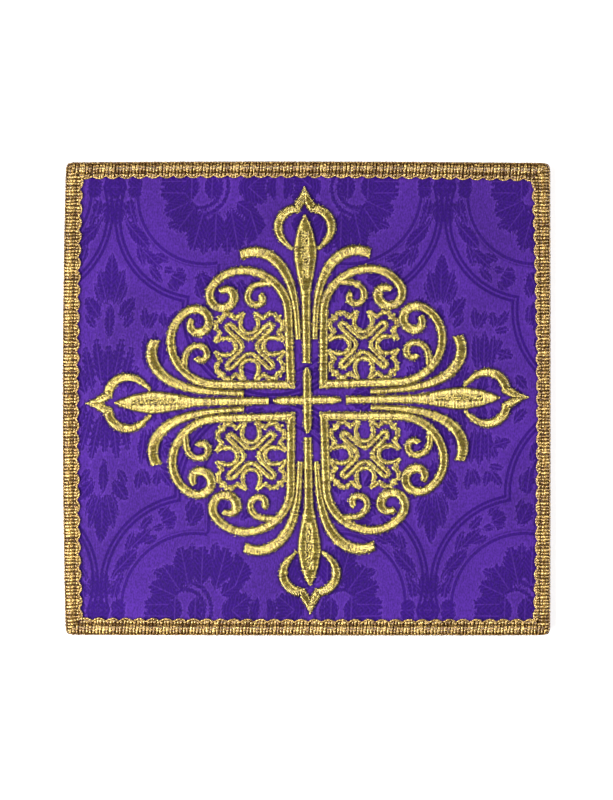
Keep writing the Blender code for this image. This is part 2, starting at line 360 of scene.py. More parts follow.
@dataclass(frozen=True)
class DrawnLine:
    """A line drawn by its start, its heading and a short table of bends."""

    x: float
    y: float
    heading: float
    width: float
    bends: tuple[Bend, ...]
    corner_before: float = 0.0
    corner_after: float = 0.0
    longest_corner: float = 1.2
    fine_step: float = 0.05
    least_stitch: float = 0.15

    def stretches(self) -> list[tuple[tuple[Bend, ...], float, float]]:
        """Divide the line at its sharp corners.

        Returns:
            The smooth stretches, each as its bends and the turns of the corners before
            and after it, in degrees.
        """
        found: list[tuple[tuple[Bend, ...], float, float]] = []
        current: list[Bend] = []
        before = self.corner_before
        for bend in self.bends:
            if bend.run > 0:
                current.append(bend)
            else:
                found.append((tuple(current), before, bend.turn))
                current, before = [], bend.turn
        return found + [(tuple(current), before, self.corner_after)]

    def stitches(self, pitch: float, split_over: float) -> Stitches:
        """Stitches square to the line, cut at the mitre of each sharp corner.

        The heading grows evenly along each bend, and the line is the running sum of steps
        in that heading. Near a corner of turn t a stitch is cut where it meets the mitre,
        at v = d / tan(|t| / 2) from the line, d mm before the corner.

        Args:
            pitch: distance between stitches, in mm.
            split_over: width in mm over which a stitch is split along the middle.

        Returns:
            The stitches of the whole line.
        """
        parts = []
        start, heading, width = np.array([self.x, self.y]), self.heading, self.width
        for bends, before, after in self.stretches():
            knots = np.concatenate([[0.0], np.cumsum([bend.run for bend in bends])])
            turns = heading + np.concatenate([[0.0], np.cumsum([bend.turn for bend in bends])])
            widths = np.array([width] + [bend.width for bend in bends])
            steps = int(math.ceil(knots[-1] / self.fine_step))
            stride = knots[-1] / steps
            middle = (np.arange(steps) + 0.5) * stride
            toward = np.radians(np.interp(middle, knots, turns))
            walk = np.cumsum(np.stack([np.cos(toward), np.sin(toward)], axis=1) * stride, axis=0)
            line = start + np.concatenate([np.zeros((1, 2)), walk])
            ahead = [min(math.tan(math.radians(abs(turn)) / 2), self.longest_corner)
                     for turn in (before, after)]
            low = -ahead[0] * widths[0] / 2
            high = knots[-1] + ahead[1] * widths[-1] / 2
            count = max(2, int(round((high - low) / pitch)))
            place = low + (np.arange(count) + 0.5) * (high - low) / count
            inside = np.clip(place, 0, knots[-1])
            facing = np.radians(np.interp(inside, knots, turns))
            fine = np.arange(steps + 1) * stride
            centre = np.stack([np.interp(inside, fine, line[:, axis]) for axis in (0, 1)], axis=1)
            along = np.stack([np.cos(facing), np.sin(facing)], axis=1)
            centre = centre + along * (place - inside)[:, None]
            leftward = np.stack([-along[:, 1], along[:, 0]], axis=1)
            half = np.interp(inside, knots, widths) / 2
            top, bottom = half.copy(), -half
            for turn, gap in ((before, place), (after, knots[-1] - place)):
                if turn:
                    limit = gap / math.tan(math.radians(abs(turn)) / 2)
                    if turn > 0:
                        top = np.minimum(top, limit)
                    else:
                        bottom = np.maximum(bottom, -limit)
            kept = top - bottom > self.least_stitch
            wide = 2 * half > split_over
            parts.append(Stitches(
                (centre + leftward * top[:, None])[kept],
                (centre + leftward * bottom[:, None])[kept],
                wide[kept],
            ))
            start, heading, width = line[-1], turns[-1] + after, widths[-1]
        return Stitches.joined(parts)


@dataclass(frozen=True)
class StitchedPiece:
    """A stitched piece: its node, its stretches of stitches, and whether it lies low, as
    the tracery does."""

    node: str
    parts: list[Stitches]
    low: bool = False


@dataclass(frozen=True)
class LooseEnds:
    """Short thread ends along the middle of a split head. Lengths are in mm, the spread
    over the middle is a share of half a stitch, and the turn is in radians."""

    a_stitch: int = 4
    spread: float = 0.11
    turn: float = 0.55
    reach: tuple[float, float] = (0.15, 0.40)
    stations: tuple[float, ...] = (-1.0, -0.6, 0.0, 0.6, 1.0)
    level_jitter: float = 0.07
    droop: float = 0.3
    radius: float = 0.16
    tones: tuple[float, float] = (0.0, 1.4)


@dataclass(frozen=True)
class Padding:
    """Padding under the threads: its stations across a stitch, how far its top lies under
    the threads' centres, its depth in the cloth, and its tone, which darkens it as a
    painted shade under the threads."""

    stations: tuple[float, ...] = (0.93, 0.6, 0.0, -0.6, -0.93)
    under_threads: float = 0.16
    foot_depth: float = 0.2
    tone: float = -1.0


@dataclass(frozen=True)
class SatinStitcher:
    """Turns stitches into raised threads over a padding, in the cross's place.

    Lengths are in mm. Stations are shares of the shoulder, counted from a thread's foot.
    Split stations are shares of the way from half way in to the thread's end.
    """

    face: Face
    loose: LooseEnds = LooseEnds()
    pad: Padding = Padding()
    pitch: float = 0.46
    thread_radius: float = 0.24
    height: float = 0.85
    low_share: float = 0.8
    foot_depth: float = 0.25
    sides: int = 4
    stations: tuple[float, ...] = (0.0, 0.13, 0.45, 1.0)
    low_stations: tuple[float, ...] = (0.0, 0.13, 0.5)
    split_from: float = 0.5
    split_ends: tuple[float, float] = (0.03, 0.30)
    split_stations: tuple[float, ...] = (0.0, 0.7, 1.0)
    split_sink: tuple[float, ...] = (0.0, 0.1, 1.0)
    split_depth: float = 0.30
    overhang: float = 0.05
    end_jitter: float = 0.17
    pair_jitter: float = 0.17 / 3
    most_slack: float = 0.4
    slant_jitter: float = 0.05
    rise_jitter: float = 0.06
    radius_jitter: float = 0.08
    tones: tuple[float, float] = (-0.1, 1.1)
    shoulder: float = 0.72
    full_height_at: float = 0.72
    least_height: float = 0.55
    seed: int = 7
    centre_x: float = 0.26
    centre_y: float = -0.6
    lean: float = 0.8
    stretch_x: float = 1.019
    stretch_y: float = 0.982

    def lay(self, points: Array) -> Array:
        """Stretch, lean and shift drawn points to where the cross was worked.

        Args:
            points: drawn points, each x and y in mm.

        Returns:
            The points on the veil, each x and y in mm.
        """
        x, y = points[..., 0] * self.stretch_x, points[..., 1] * self.stretch_y
        lean = math.radians(self.lean)
        return np.stack(
            [
                x * math.cos(lean) - y * math.sin(lean) + self.centre_x,
                x * math.sin(lean) + y * math.cos(lean) + self.centre_y,
            ],
            axis=-1,
        )

    def dome(self, across: Array, half: Array) -> Array:
        """Height share at a place across a stitch, from -1 to 1.

        The shoulder is a quarter of an ellipse: sqrt(1 - (1 - d)^2), where d is the
        distance from the edge over the shoulder's width and is 1 at most. A stitch too
        narrow for whole shoulders is lower.

        Args:
            across: places across the stitches.
            half: half the width of each, in mm.

        Returns:
            The share of the full height at each place.
        """
        shoulder = np.minimum(half, self.shoulder)
        d = np.clip((1 - np.abs(across)) * half / shoulder, 0, 1)
        full = np.clip(shoulder / self.full_height_at, self.least_height, 1)
        return np.sqrt(1 - (1 - d) ** 2) * full

    def threads(self, shell: Shell, laid: Stitches, height: float,
                random: np.random.Generator) -> None:
        """Add one arched thread for each stitch, and two for each split one.

        A thread's centre runs from foot to foot over the shoulders, with stations close
        together at its ends. A split one ends near the middle and dips there.

        Args:
            shell: the mesh to add to.
            laid: stitches in their place on the face.
            height: height of the threads' centres over the face, in mm.
            random: source of the hand work's unevenness.
        """
        whole = ~laid.split
        steps = np.array(self.low_stations if height < self.height else self.stations)
        for chosen, begin in ((whole, 0.0), (~whole, -1.0), (~whole, 1.0)):
            number = int(chosen.sum())
            if not number:
                continue
            left, right = laid.left[chosen], laid.right[chosen]
            middle, half = (left + right) / 2, (left - right) / 2
            length = np.linalg.norm(half, axis=1)[:, None]
            half = half * (1 + self.overhang / length)
            pairs = np.repeat(random.normal(0, self.pair_jitter, (number // 2 + 1, 2)), 2, axis=0)
            slack = random.normal(0, self.end_jitter, (number, 2)) + pairs[:number]
            slack = np.clip(slack, -self.most_slack, self.most_slack)
            slack = slack / np.maximum(length, self.most_slack)
            edge = steps * np.minimum(1, self.shoulder / length)
            if begin:
                ends = random.uniform(*self.split_ends, (number, 1))
                inner = self.split_from + (ends - self.split_from) * np.array(self.split_stations)
                across = np.concatenate([1 - edge, inner], axis=1) * begin
                sunk = self.split_depth * np.array([0.0] * len(steps) + list(self.split_sink))
            else:
                crest = np.zeros((number, 1))
                across = np.concatenate([edge - 1, crest, 1 - edge[:, ::-1]], axis=1)
                across = across * (1 + np.where(across < 0, slack[:, :1], slack[:, 1:]))
                sunk = 0.0
            flat = middle[:, None] + half[:, None] * across[..., None]
            slant = random.normal(0, self.slant_jitter, (number, 1, 1))
            forward = unit(np.stack([half[:, 1], -half[:, 0]], axis=1))
            flat = flat + forward[:, None] * (slant * across[..., None])
            rise = height * (1 + random.normal(0, self.rise_jitter, (number, 1)))
            level = self.face.height(flat[..., 0], flat[..., 1]) - self.foot_depth
            lift = self.dome(across / np.maximum(1, np.abs(across)), length)
            level = level + (rise + self.foot_depth) * lift
            paths = np.concatenate([flat, (level - sunk)[..., None]], axis=-1)
            sideways = np.concatenate([forward, np.zeros((number, 1))], axis=1)[:, None]
            radius = self.thread_radius * (1 + random.normal(0, self.radius_jitter, (number, 1)))
            points = tube_points(paths, sideways, radius, self.sides)
            tone = np.broadcast_to(random.uniform(*self.tones, (number, 1, 1)), points.shape[:3])
            shell.add(points, tube_polygons(number, paths.shape[1], self.sides), tone=tone)

    def loose_ends(self, shell: Shell, laid: Stitches, height: float,
                   random: np.random.Generator) -> None:
        """Add the short thread ends that show along the middle of a split head.

        Each lies nearly along the head, and its two ends droop with the fourth power of
        the distance from its middle.

        Args:
            shell: the mesh to add to.
            laid: stitches in their place on the face.
            height: height of the threads' centres over the face, in mm.
            random: source of their places, directions and lengths.
        """
        loose, chosen = self.loose, laid.split
        number = int(chosen.sum()) * loose.a_stitch
        if not number:
            return
        middle = np.repeat((laid.left + laid.right)[chosen] / 2, loose.a_stitch, axis=0)
        half = np.repeat((laid.left - laid.right)[chosen] / 2, loose.a_stitch, axis=0)
        place = middle + half * random.normal(0, loose.spread, (number, 1))
        heading = np.arctan2(-half[:, 0], half[:, 1]) + random.normal(0, loose.turn, number)
        reach = random.uniform(*loose.reach, number)
        step = np.stack([np.cos(heading), np.sin(heading)], axis=1) * reach[:, None]
        share = np.array(loose.stations)
        flat = place[:, None] + step[:, None] * share[:, None]
        top = height + random.normal(0, loose.level_jitter, (number, 1)) - loose.droop * share**4
        level = self.face.height(flat[..., 0], flat[..., 1]) + top
        paths = np.concatenate([flat, level[..., None]], axis=-1)
        points = tube_points(paths, np.array([0.0, 0.0, 1.0]), loose.radius, self.sides)
        tone = np.broadcast_to(random.uniform(*loose.tones, (number, 1, 1)), points.shape[:3])
        shell.add(points, tube_polygons(number, len(share), self.sides), tone=tone)

    def padding(self, shell: Shell, laid: Stitches, height: float) -> None:
        """Add the closed padding under the threads, a low dome from row to row.

        Args:
            shell: the mesh to add to.
            laid: stitches in their place on the face, in order along the line.
            height: height of the threads' centres over the face, in mm.
        """
        middle, half = (laid.left + laid.right) / 2, (laid.left - laid.right) / 2
        across = np.array(self.pad.stations)
        flat = middle[:, None] + half[:, None] * across[:, None]
        base = self.face.height(flat[..., 0], flat[..., 1])
        length = np.linalg.norm(half, axis=1)[:, None]
        rise = height - self.pad.under_threads
        rise = rise * self.dome(np.broadcast_to(across, base.shape), length)
        top = np.concatenate([flat, (base + rise)[..., None]], axis=-1)
        both = [-1, 0]
        feet = np.concatenate([flat[:, both], base[:, both, None] - self.pad.foot_depth], axis=-1)
        section = np.concatenate([top, feet], axis=1)
        rows, around = section.shape[:2]
        shell.add(section, tube_polygons(1, rows, around), tone=self.pad.tone)

    def make(self, piece: StitchedPiece, finish: "ThreadFinish") -> bpy.types.Object:
        """Make a stitched piece in place of its node.

        Args:
            piece: the piece, as drawn in its quarter.
            finish: the thread's finish.

        Returns:
            The finished object, riding on the veil.
        """
        random = np.random.default_rng([self.seed, *piece.node.encode()])
        shell = Shell()
        height = self.height * (self.low_share if piece.low else 1.0)
        for part in piece.parts:
            laid = Stitches(self.lay(part.left), self.lay(part.right), part.split)
            self.threads(shell, laid, height, random)
            self.padding(shell, laid, height)
            self.loose_ends(shell, laid, height, random)
        thing = shell.make(f"satin_{piece.node}", finish.material())
        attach(thing, BODY)
        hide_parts(piece.node)
        return thing


@dataclass(frozen=True)
class Grain:
    """Noise in a finish: cells to the metre, its scale along each axis, and its detail."""

    scale: float
    stretch: tuple[float, float, float] = (1.0, 1.0, 1.0)
    detail: float = 2.0


class Nodes:
    """A material's node tree, with short calls to add and join nodes."""

    def __init__(self, name: str) -> None:
        """Make a material with a Principled shader.

        Args:
            name: the material's name.
        """
        self.material = bpy.data.materials.new(name)
        self.material.use_nodes = True
        self.tree = self.material.node_tree
        self.shader = self.tree.nodes["Principled BSDF"]

    def add(self, kind: str, **settings: object) -> bpy.types.Node:
        """Add a node.

        Args:
            kind: the node's type.
            settings: a value for each of its settings that isn't left as it is.

        Returns:
            The node.
        """
        node = self.tree.nodes.new(kind)
        for name, value in settings.items():
            setattr(node, name, value)
        return node

    def join(self, source: Socket, target: Socket) -> None:
        """Link one socket to another."""
        self.tree.links.new(source, target)

    def value(self, name: str) -> Socket:
        """The socket of a value stored at the points."""
        return self.add("ShaderNodeAttribute", attribute_name=name).outputs["Fac"]

    def math(self, operation: str, first: Socket | float, second: Socket | float = 0.0) -> Socket:
        """Add a Math node.

        Args:
            operation: what it works out.
            first: its first value, a socket or a number.
            second: its second value, likewise.

        Returns:
            The result's socket.
        """
        node = self.add("ShaderNodeMath", operation=operation)
        for number, item in enumerate((first, second)):
            if isinstance(item, (int, float)):
                node.inputs[number].default_value = item
            else:
                self.join(item, node.inputs[number])
        return node.outputs[0]

    def noise(self, grain: Grain) -> Socket:
        """Add noise on Object coordinates.

        Args:
            grain: its scale, stretch and detail.

        Returns:
            The noise's socket.
        """
        place = self.add("ShaderNodeTexCoord").outputs["Object"]
        mapping = self.add("ShaderNodeMapping")
        mapping.inputs["Scale"].default_value = grain.stretch
        self.join(place, mapping.inputs["Vector"])
        node = self.add("ShaderNodeTexNoise")
        node.inputs["Scale"].default_value = grain.scale
        node.inputs["Detail"].default_value = grain.detail
        self.join(mapping.outputs["Vector"], node.inputs["Vector"])
        return node.outputs["Fac"]

    def ramp(self, source: Socket, low: float, high: float, stops: Stops) -> Socket:
        """Add a grey curve of a value.

        Args:
            source: the value.
            low: the value at the ramp's left end.
            high: the value at its right end.
            stops: pairs of a value and the grey there, in order.

        Returns:
            The grey's socket.
        """
        spread = self.add("ShaderNodeMapRange")
        spread.inputs["From Min"].default_value = low
        spread.inputs["From Max"].default_value = high
        self.join(source, spread.inputs["Value"])
        node = self.add("ShaderNodeValToRGB")
        points = node.color_ramp.elements
        while len(points) < len(stops):
            points.new(0.5)
        for point, (value, grey) in zip(points, stops):
            point.position = (value - low) / (high - low)
            point.color = (grey, grey, grey, 1)
        self.join(spread.outputs[0], node.inputs["Fac"])
        return node.outputs["Color"]

    def blend(self, share: Socket, first: Socket | Colour, second: Socket | Colour) -> Socket:
        """Mix two colours.

        Args:
            share: how much of the second colour shows.
            first: the first colour, a socket or three numbers.
            second: the second colour, likewise.

        Returns:
            The mixed colour's socket.
        """
        node = self.add("ShaderNodeMix", data_type="RGBA")
        self.join(share, node.inputs["Factor"])
        for socket, item in ((node.inputs[6], first), (node.inputs[7], second)):
            if isinstance(item, tuple):
                socket.default_value = (*item, 1)
            else:
                self.join(item, socket)
        return node.outputs[2]

    def times(self, first: Socket, second: Socket) -> Socket:
        """Multiply one colour by another.

        Args:
            first: the first colour's socket.
            second: the second colour's socket.

        Returns:
            The product's socket.
        """
        node = self.add("ShaderNodeMix", data_type="RGBA", blend_type="MULTIPLY")
        node.inputs["Factor"].default_value = 1.0
        self.join(first, node.inputs[6])
        self.join(second, node.inputs[7])
        return node.outputs[2]

    def bump(self, height: Socket, distance: float, strength: float) -> None:
        """Raise the shader's surface by a height.

        Args:
            height: the height's socket.
            distance: how far a height of 1 stands out, in metres.
            strength: how strongly it shades.
        """
        node = self.add("ShaderNodeBump")
        node.inputs["Distance"].default_value = distance
        node.inputs["Strength"].default_value = strength
        self.join(height, node.inputs["Height"])
        self.join(node.outputs["Normal"], self.shader.inputs["Normal"])

    def set(self, **values: float) -> None:
        """Set the shader's own sockets, with _ for each space in their names."""
        for name, value in values.items():
            self.shader.inputs[name.replace("_", " ")].default_value = value


@dataclass(frozen=True)
class ThreadFinish:
    """Metallised gold thread: two golds mixed from thread to thread, with fine glints.

    Depths are in metres, and the wrapping's pitch is in mm, or 0 where there is none.
    """

    name: str = "gold_satin_thread"
    dark: Colour = (0.16, 0.090, 0.002)
    light: Colour = (0.72, 0.60, 0.14)
    metallic: float = 0.82
    rough_low: float = 0.18
    rough_high: float = 0.28
    glint_depth: float = 0.00007
    glint_strength: float = 0.9
    grain: Grain = Grain(2300.0)
    coat_ior: float = 1.75
    coat_roughness: float = 0.22
    glint_from: float = 0.40
    glint_to: float = 0.60
    wrap_pitch: float = 0.0
    wrap_share: float = 0.35
    wrap_painted_light: float = 0.6
    wrap_shift: float = 9.0
    tone_share: float = 0.42
    padding_shade: float = 0.22

    def material(self) -> bpy.types.Material:
        """Make the material, or find it where it is made.

        The share of light gold is tone_share of the thread's tone and the rest of the
        glint. On a wrapped cord a sine wave of the run along it is added, shifted by
        the cord's tone, as painted light and shade along the wrapping. Padding has a tone
        below 0 and is darkened, a painted shade under the threads.

        Returns:
            The material.
        """
        known = bpy.data.materials.get(self.name)
        if known:
            return known
        nodes = Nodes(self.name)
        noise = nodes.noise(self.grain)
        glint = nodes.ramp(noise, 0.3, 0.7, ((self.glint_from, 0.0), (self.glint_to, 1.0)))
        tone = nodes.value("tone")
        share = nodes.math("ADD", nodes.math("MULTIPLY", tone, self.tone_share),
                           nodes.math("MULTIPLY", glint, 1 - self.tone_share))
        height = noise
        if self.wrap_pitch:
            shift = nodes.math("MULTIPLY", tone, self.wrap_shift)
            run = nodes.math("ADD", nodes.value("run"), shift)
            wrap = nodes.math("SINE", nodes.math("MULTIPLY", run, 2 * math.pi / self.wrap_pitch))
            wrap = nodes.math("MULTIPLY", wrap, self.wrap_share)
            height = nodes.math("ADD", noise, wrap)
            # Painted light and shade: the wrap's sine lightens the gold on each turn and darkens it
            # between turns.
            share = nodes.math("ADD", share, nodes.math("MULTIPLY", wrap, self.wrap_painted_light))
        gold = nodes.blend(share, self.dark, self.light)
        # Painted shade: padding, whose tone is below 0, is darkened as the shade under the threads.
        depth = nodes.ramp(tone, -1.0, 0.0, ((-1.0, self.padding_shade), (0.0, 1.0)))
        nodes.join(nodes.times(gold, depth), nodes.shader.inputs["Base Color"])
        rough = nodes.ramp(glint, 0.0, 1.0, ((0.0, self.rough_high), (1.0, self.rough_low)))
        nodes.join(rough, nodes.shader.inputs["Roughness"])
        nodes.bump(height, self.glint_depth, self.glint_strength)
        nodes.set(Metallic=self.metallic, Coat_Weight=1.0, Coat_IOR=self.coat_ior,
                  Coat_Roughness=self.coat_roughness)
        return nodes.material


@dataclass(frozen=True)
class DamaskFinish:
    """Tone on tone satin damask: a lighter ground and a darker figure with light veins.

    Each table pairs a value with the grey there. The lines, leaves and halo are read at a
    distance in mm, the rib at a place across a leaf, the veins at the height of their
    wave, the cloth at its noise, and the painted shade beside the stitches at a distance
    in mm from the nearest stitch.
    """

    name: str = "violet_damask"
    ground: Colour = (0.052, 0.0138, 0.202)
    figure: Colour = (0.018, 0.0010, 0.112)
    light: Colour = (0.078, 0.0250, 0.262)
    double_line: Stops = ((-1.35, 0.0), (-1.10, 1.0), (-0.40, 1.0), (-0.18, 0.1),
                          (0.18, 0.1), (0.40, 1.0), (1.10, 1.0), (1.35, 0.0))
    single_line: Stops = ((-0.65, 0.0), (-0.45, 0.9), (0.35, 0.9), (0.55, 0.0),
                          (0.80, 0.0), (0.95, 0.5), (1.20, 0.5), (1.40, 0.0))
    leaf_body: Stops = ((-0.45, 1.0), (-0.10, 0.8), (0.15, 0.0))
    leaf_rib: Stops = ((0.10, 0.25), (0.30, 1.0))
    leaf_veins: Stops = ((0.0, 1.0), (0.9, 0.72))
    leaf_halo: Stops = ((0.0, 0.0), (0.15, 0.8), (0.45, 0.8), (0.75, 0.0))
    cloth_shade: Stops = ((0.41, 0.52), (0.59, 1.0))
    painted_stitch_shade: Stops = ((0.15, 0.66), (1.0, 1.0))
    thread: Grain = Grain(900.0, (3.0, 0.5, 1.0), 3.0)
    weave: Grain = Grain(1300.0, (1.5, 0.9, 1.0))
    cloud: Grain = Grain(45.0, (1.0, 0.8, 1.0), 3.0)
    thread_part: float = 0.3
    cloud_part: float = 0.2
    weave_part: float = 0.5
    ragged_edge: float = 1.6
    veins_along: float = 3.6
    veins_across: float = 4.6
    figure_least: float = 0.55
    figure_thread: float = 0.7
    halo_share: float = 0.6
    roughness_ground: float = 0.50
    roughness_figure: float = 0.62
    cloth_relief: float = 0.8
    relief_depth: float = 0.00009
    relief_strength: float = 0.6
    specular: float = 0.08

    def material(self) -> bpy.types.Material:
        """Make the material.

        The figure is the greatest of three greys: the double line, the single line and
        the leaf. The leaf is its body times its rib times its veins, which are waves
        sin(a along - b |across|). The cloth's shade is a sum of thread, cloud and weave.

        Returns:
            The material.
        """
        nodes = Nodes(self.name)
        double = nodes.ramp(nodes.value("outline_mm"), -2.0, 2.0, self.double_line)
        single = nodes.ramp(nodes.value("ring_mm"), -2.0, 2.0, self.single_line)
        thread, weave = nodes.noise(self.thread), nodes.noise(self.weave)
        ragged = nodes.math("MULTIPLY", nodes.math("SUBTRACT", weave, 0.5), self.ragged_edge)
        leaf_mm = nodes.math("ADD", nodes.value("leaf_mm"), ragged)
        body = nodes.ramp(leaf_mm, -2.0, 1.0, self.leaf_body)
        side = nodes.math("ABSOLUTE", nodes.value("leaf_across"))
        rib = nodes.ramp(side, 0.0, 1.0, self.leaf_rib)
        along = nodes.math("MULTIPLY", nodes.value("leaf_along"), self.veins_along)
        wave = nodes.math("SUBTRACT", along, nodes.math("MULTIPLY", side, self.veins_across))
        veins = nodes.ramp(nodes.math("SINE", wave), -1.0, 1.0, self.leaf_veins)
        leaf = nodes.math("MULTIPLY", nodes.math("MULTIPLY", body, rib), veins)
        halo = nodes.ramp(leaf_mm, -2.0, 1.0, self.leaf_halo)
        figure = nodes.math("MAXIMUM", nodes.math("MAXIMUM", double, single), leaf)
        cloud = nodes.noise(self.cloud)
        darkness = nodes.math("MULTIPLY", thread, self.figure_thread)
        darkness = nodes.math("ADD", darkness, self.figure_least)
        halo = nodes.math("MULTIPLY", halo, self.halo_share)
        ground = nodes.blend(halo, self.ground, self.light)
        colour = nodes.blend(nodes.math("MULTIPLY", figure, darkness), ground, self.figure)
        streak = nodes.math("ADD", nodes.math("MULTIPLY", thread, self.thread_part),
                            nodes.math("MULTIPLY", cloud, self.cloud_part))
        streak = nodes.math("ADD", streak, nodes.math("MULTIPLY", weave, self.weave_part))
        shade = nodes.ramp(streak, 0.35, 0.65, self.cloth_shade)
        # Painted shade: the cloth is darkened next to the stitches, where their shade falls.
        rim = nodes.ramp(nodes.value("stitch_mm"), 0.0, 3.0, self.painted_stitch_shade)
        nodes.join(nodes.times(colour, nodes.times(shade, rim)), nodes.shader.inputs["Base Color"])
        rough = nodes.ramp(figure, 0.0, 1.0, (
            (0.0, self.roughness_ground), (1.0, self.roughness_figure)))
        nodes.join(rough, nodes.shader.inputs["Roughness"])
        relief = nodes.math("SUBTRACT", nodes.math("MULTIPLY", streak, self.cloth_relief), figure)
        nodes.bump(relief, self.relief_depth, self.relief_strength)
        nodes.set(Specular_IOR_Level=self.specular)
        return nodes.material


@dataclass(frozen=True)
class FloorFinish:
    """Plain white sweep under the veil."""

    name: str = "white_sweep"
    colour: Colour = (0.93, 0.93, 0.93)
    shade: Colour = (0.90, 0.90, 0.90)
    unevenness: Grain = Grain(6.0)
    roughness: float = 0.8
    glow: float = 0.15

    def material(self) -> bpy.types.Material:
        """Make the material: white with the faintest unevenness.

        Returns:
            The material.
        """
        nodes = Nodes(self.name)
        mixed = nodes.blend(nodes.noise(self.unevenness), self.shade, self.colour)
        nodes.join(mixed, nodes.shader.inputs["Base Color"])
        nodes.set(Roughness=self.roughness, Emission_Strength=self.glow)
        nodes.shader.inputs["Emission Color"].default_value = (1.0, 1.0, 1.0, 1.0)
        return nodes.material


@dataclass(frozen=True)
class Leaf:
    """An almond leaf of the damask: its foot, tip and greatest width, and how deeply its
    edge is notched, in mm."""

    foot_p: float
    foot_q: float
    tip_p: float
    tip_q: float
    width: float
    notch: float = 0.0
    notch_pitch: float = 2.6
    fullness: float = 1.36

    def measure(self, p: Array, q: Array) -> tuple[Array, Array, Array]:
        """Signed distance to the leaf, and where points lie along and across it.

        A leaf is the meeting of two equal circles through foot and tip. With half length h
        and half width w, each has radius (h^2 + w^2) / 2w and its centre lies
        (h^2 - w^2) / 2w from the leaf's axis, on the far side. Notches take depth off in
        waves that lean toward the tip.

        Args:
            p: distances across the cloth from the middle of the repeat, in mm.
            q: distances along it, in mm.

        Returns:
            The distance, the place along and the place across, all in mm.
        """
        long_p, long_q = self.tip_p - self.foot_p, self.tip_q - self.foot_q
        length = math.hypot(long_p, long_q)
        h, w = length / 2, self.width * self.fullness / 2
        from_p, from_q = p - (self.foot_p + self.tip_p) / 2, q - (self.foot_q + self.tip_q) / 2
        along = (from_p * long_p + from_q * long_q) / length
        across = (from_q * long_p - from_p * long_q) / length
        offset, radius = (h * h - w * w) / (2 * w), (h * h + w * w) / (2 * w)
        distance = np.hypot(along, np.abs(across) + offset) - radius
        wave = (along - np.abs(across)) / self.notch_pitch * 2 * math.pi
        return distance + self.notch * (0.5 + 0.5 * np.cos(wave)), along, across


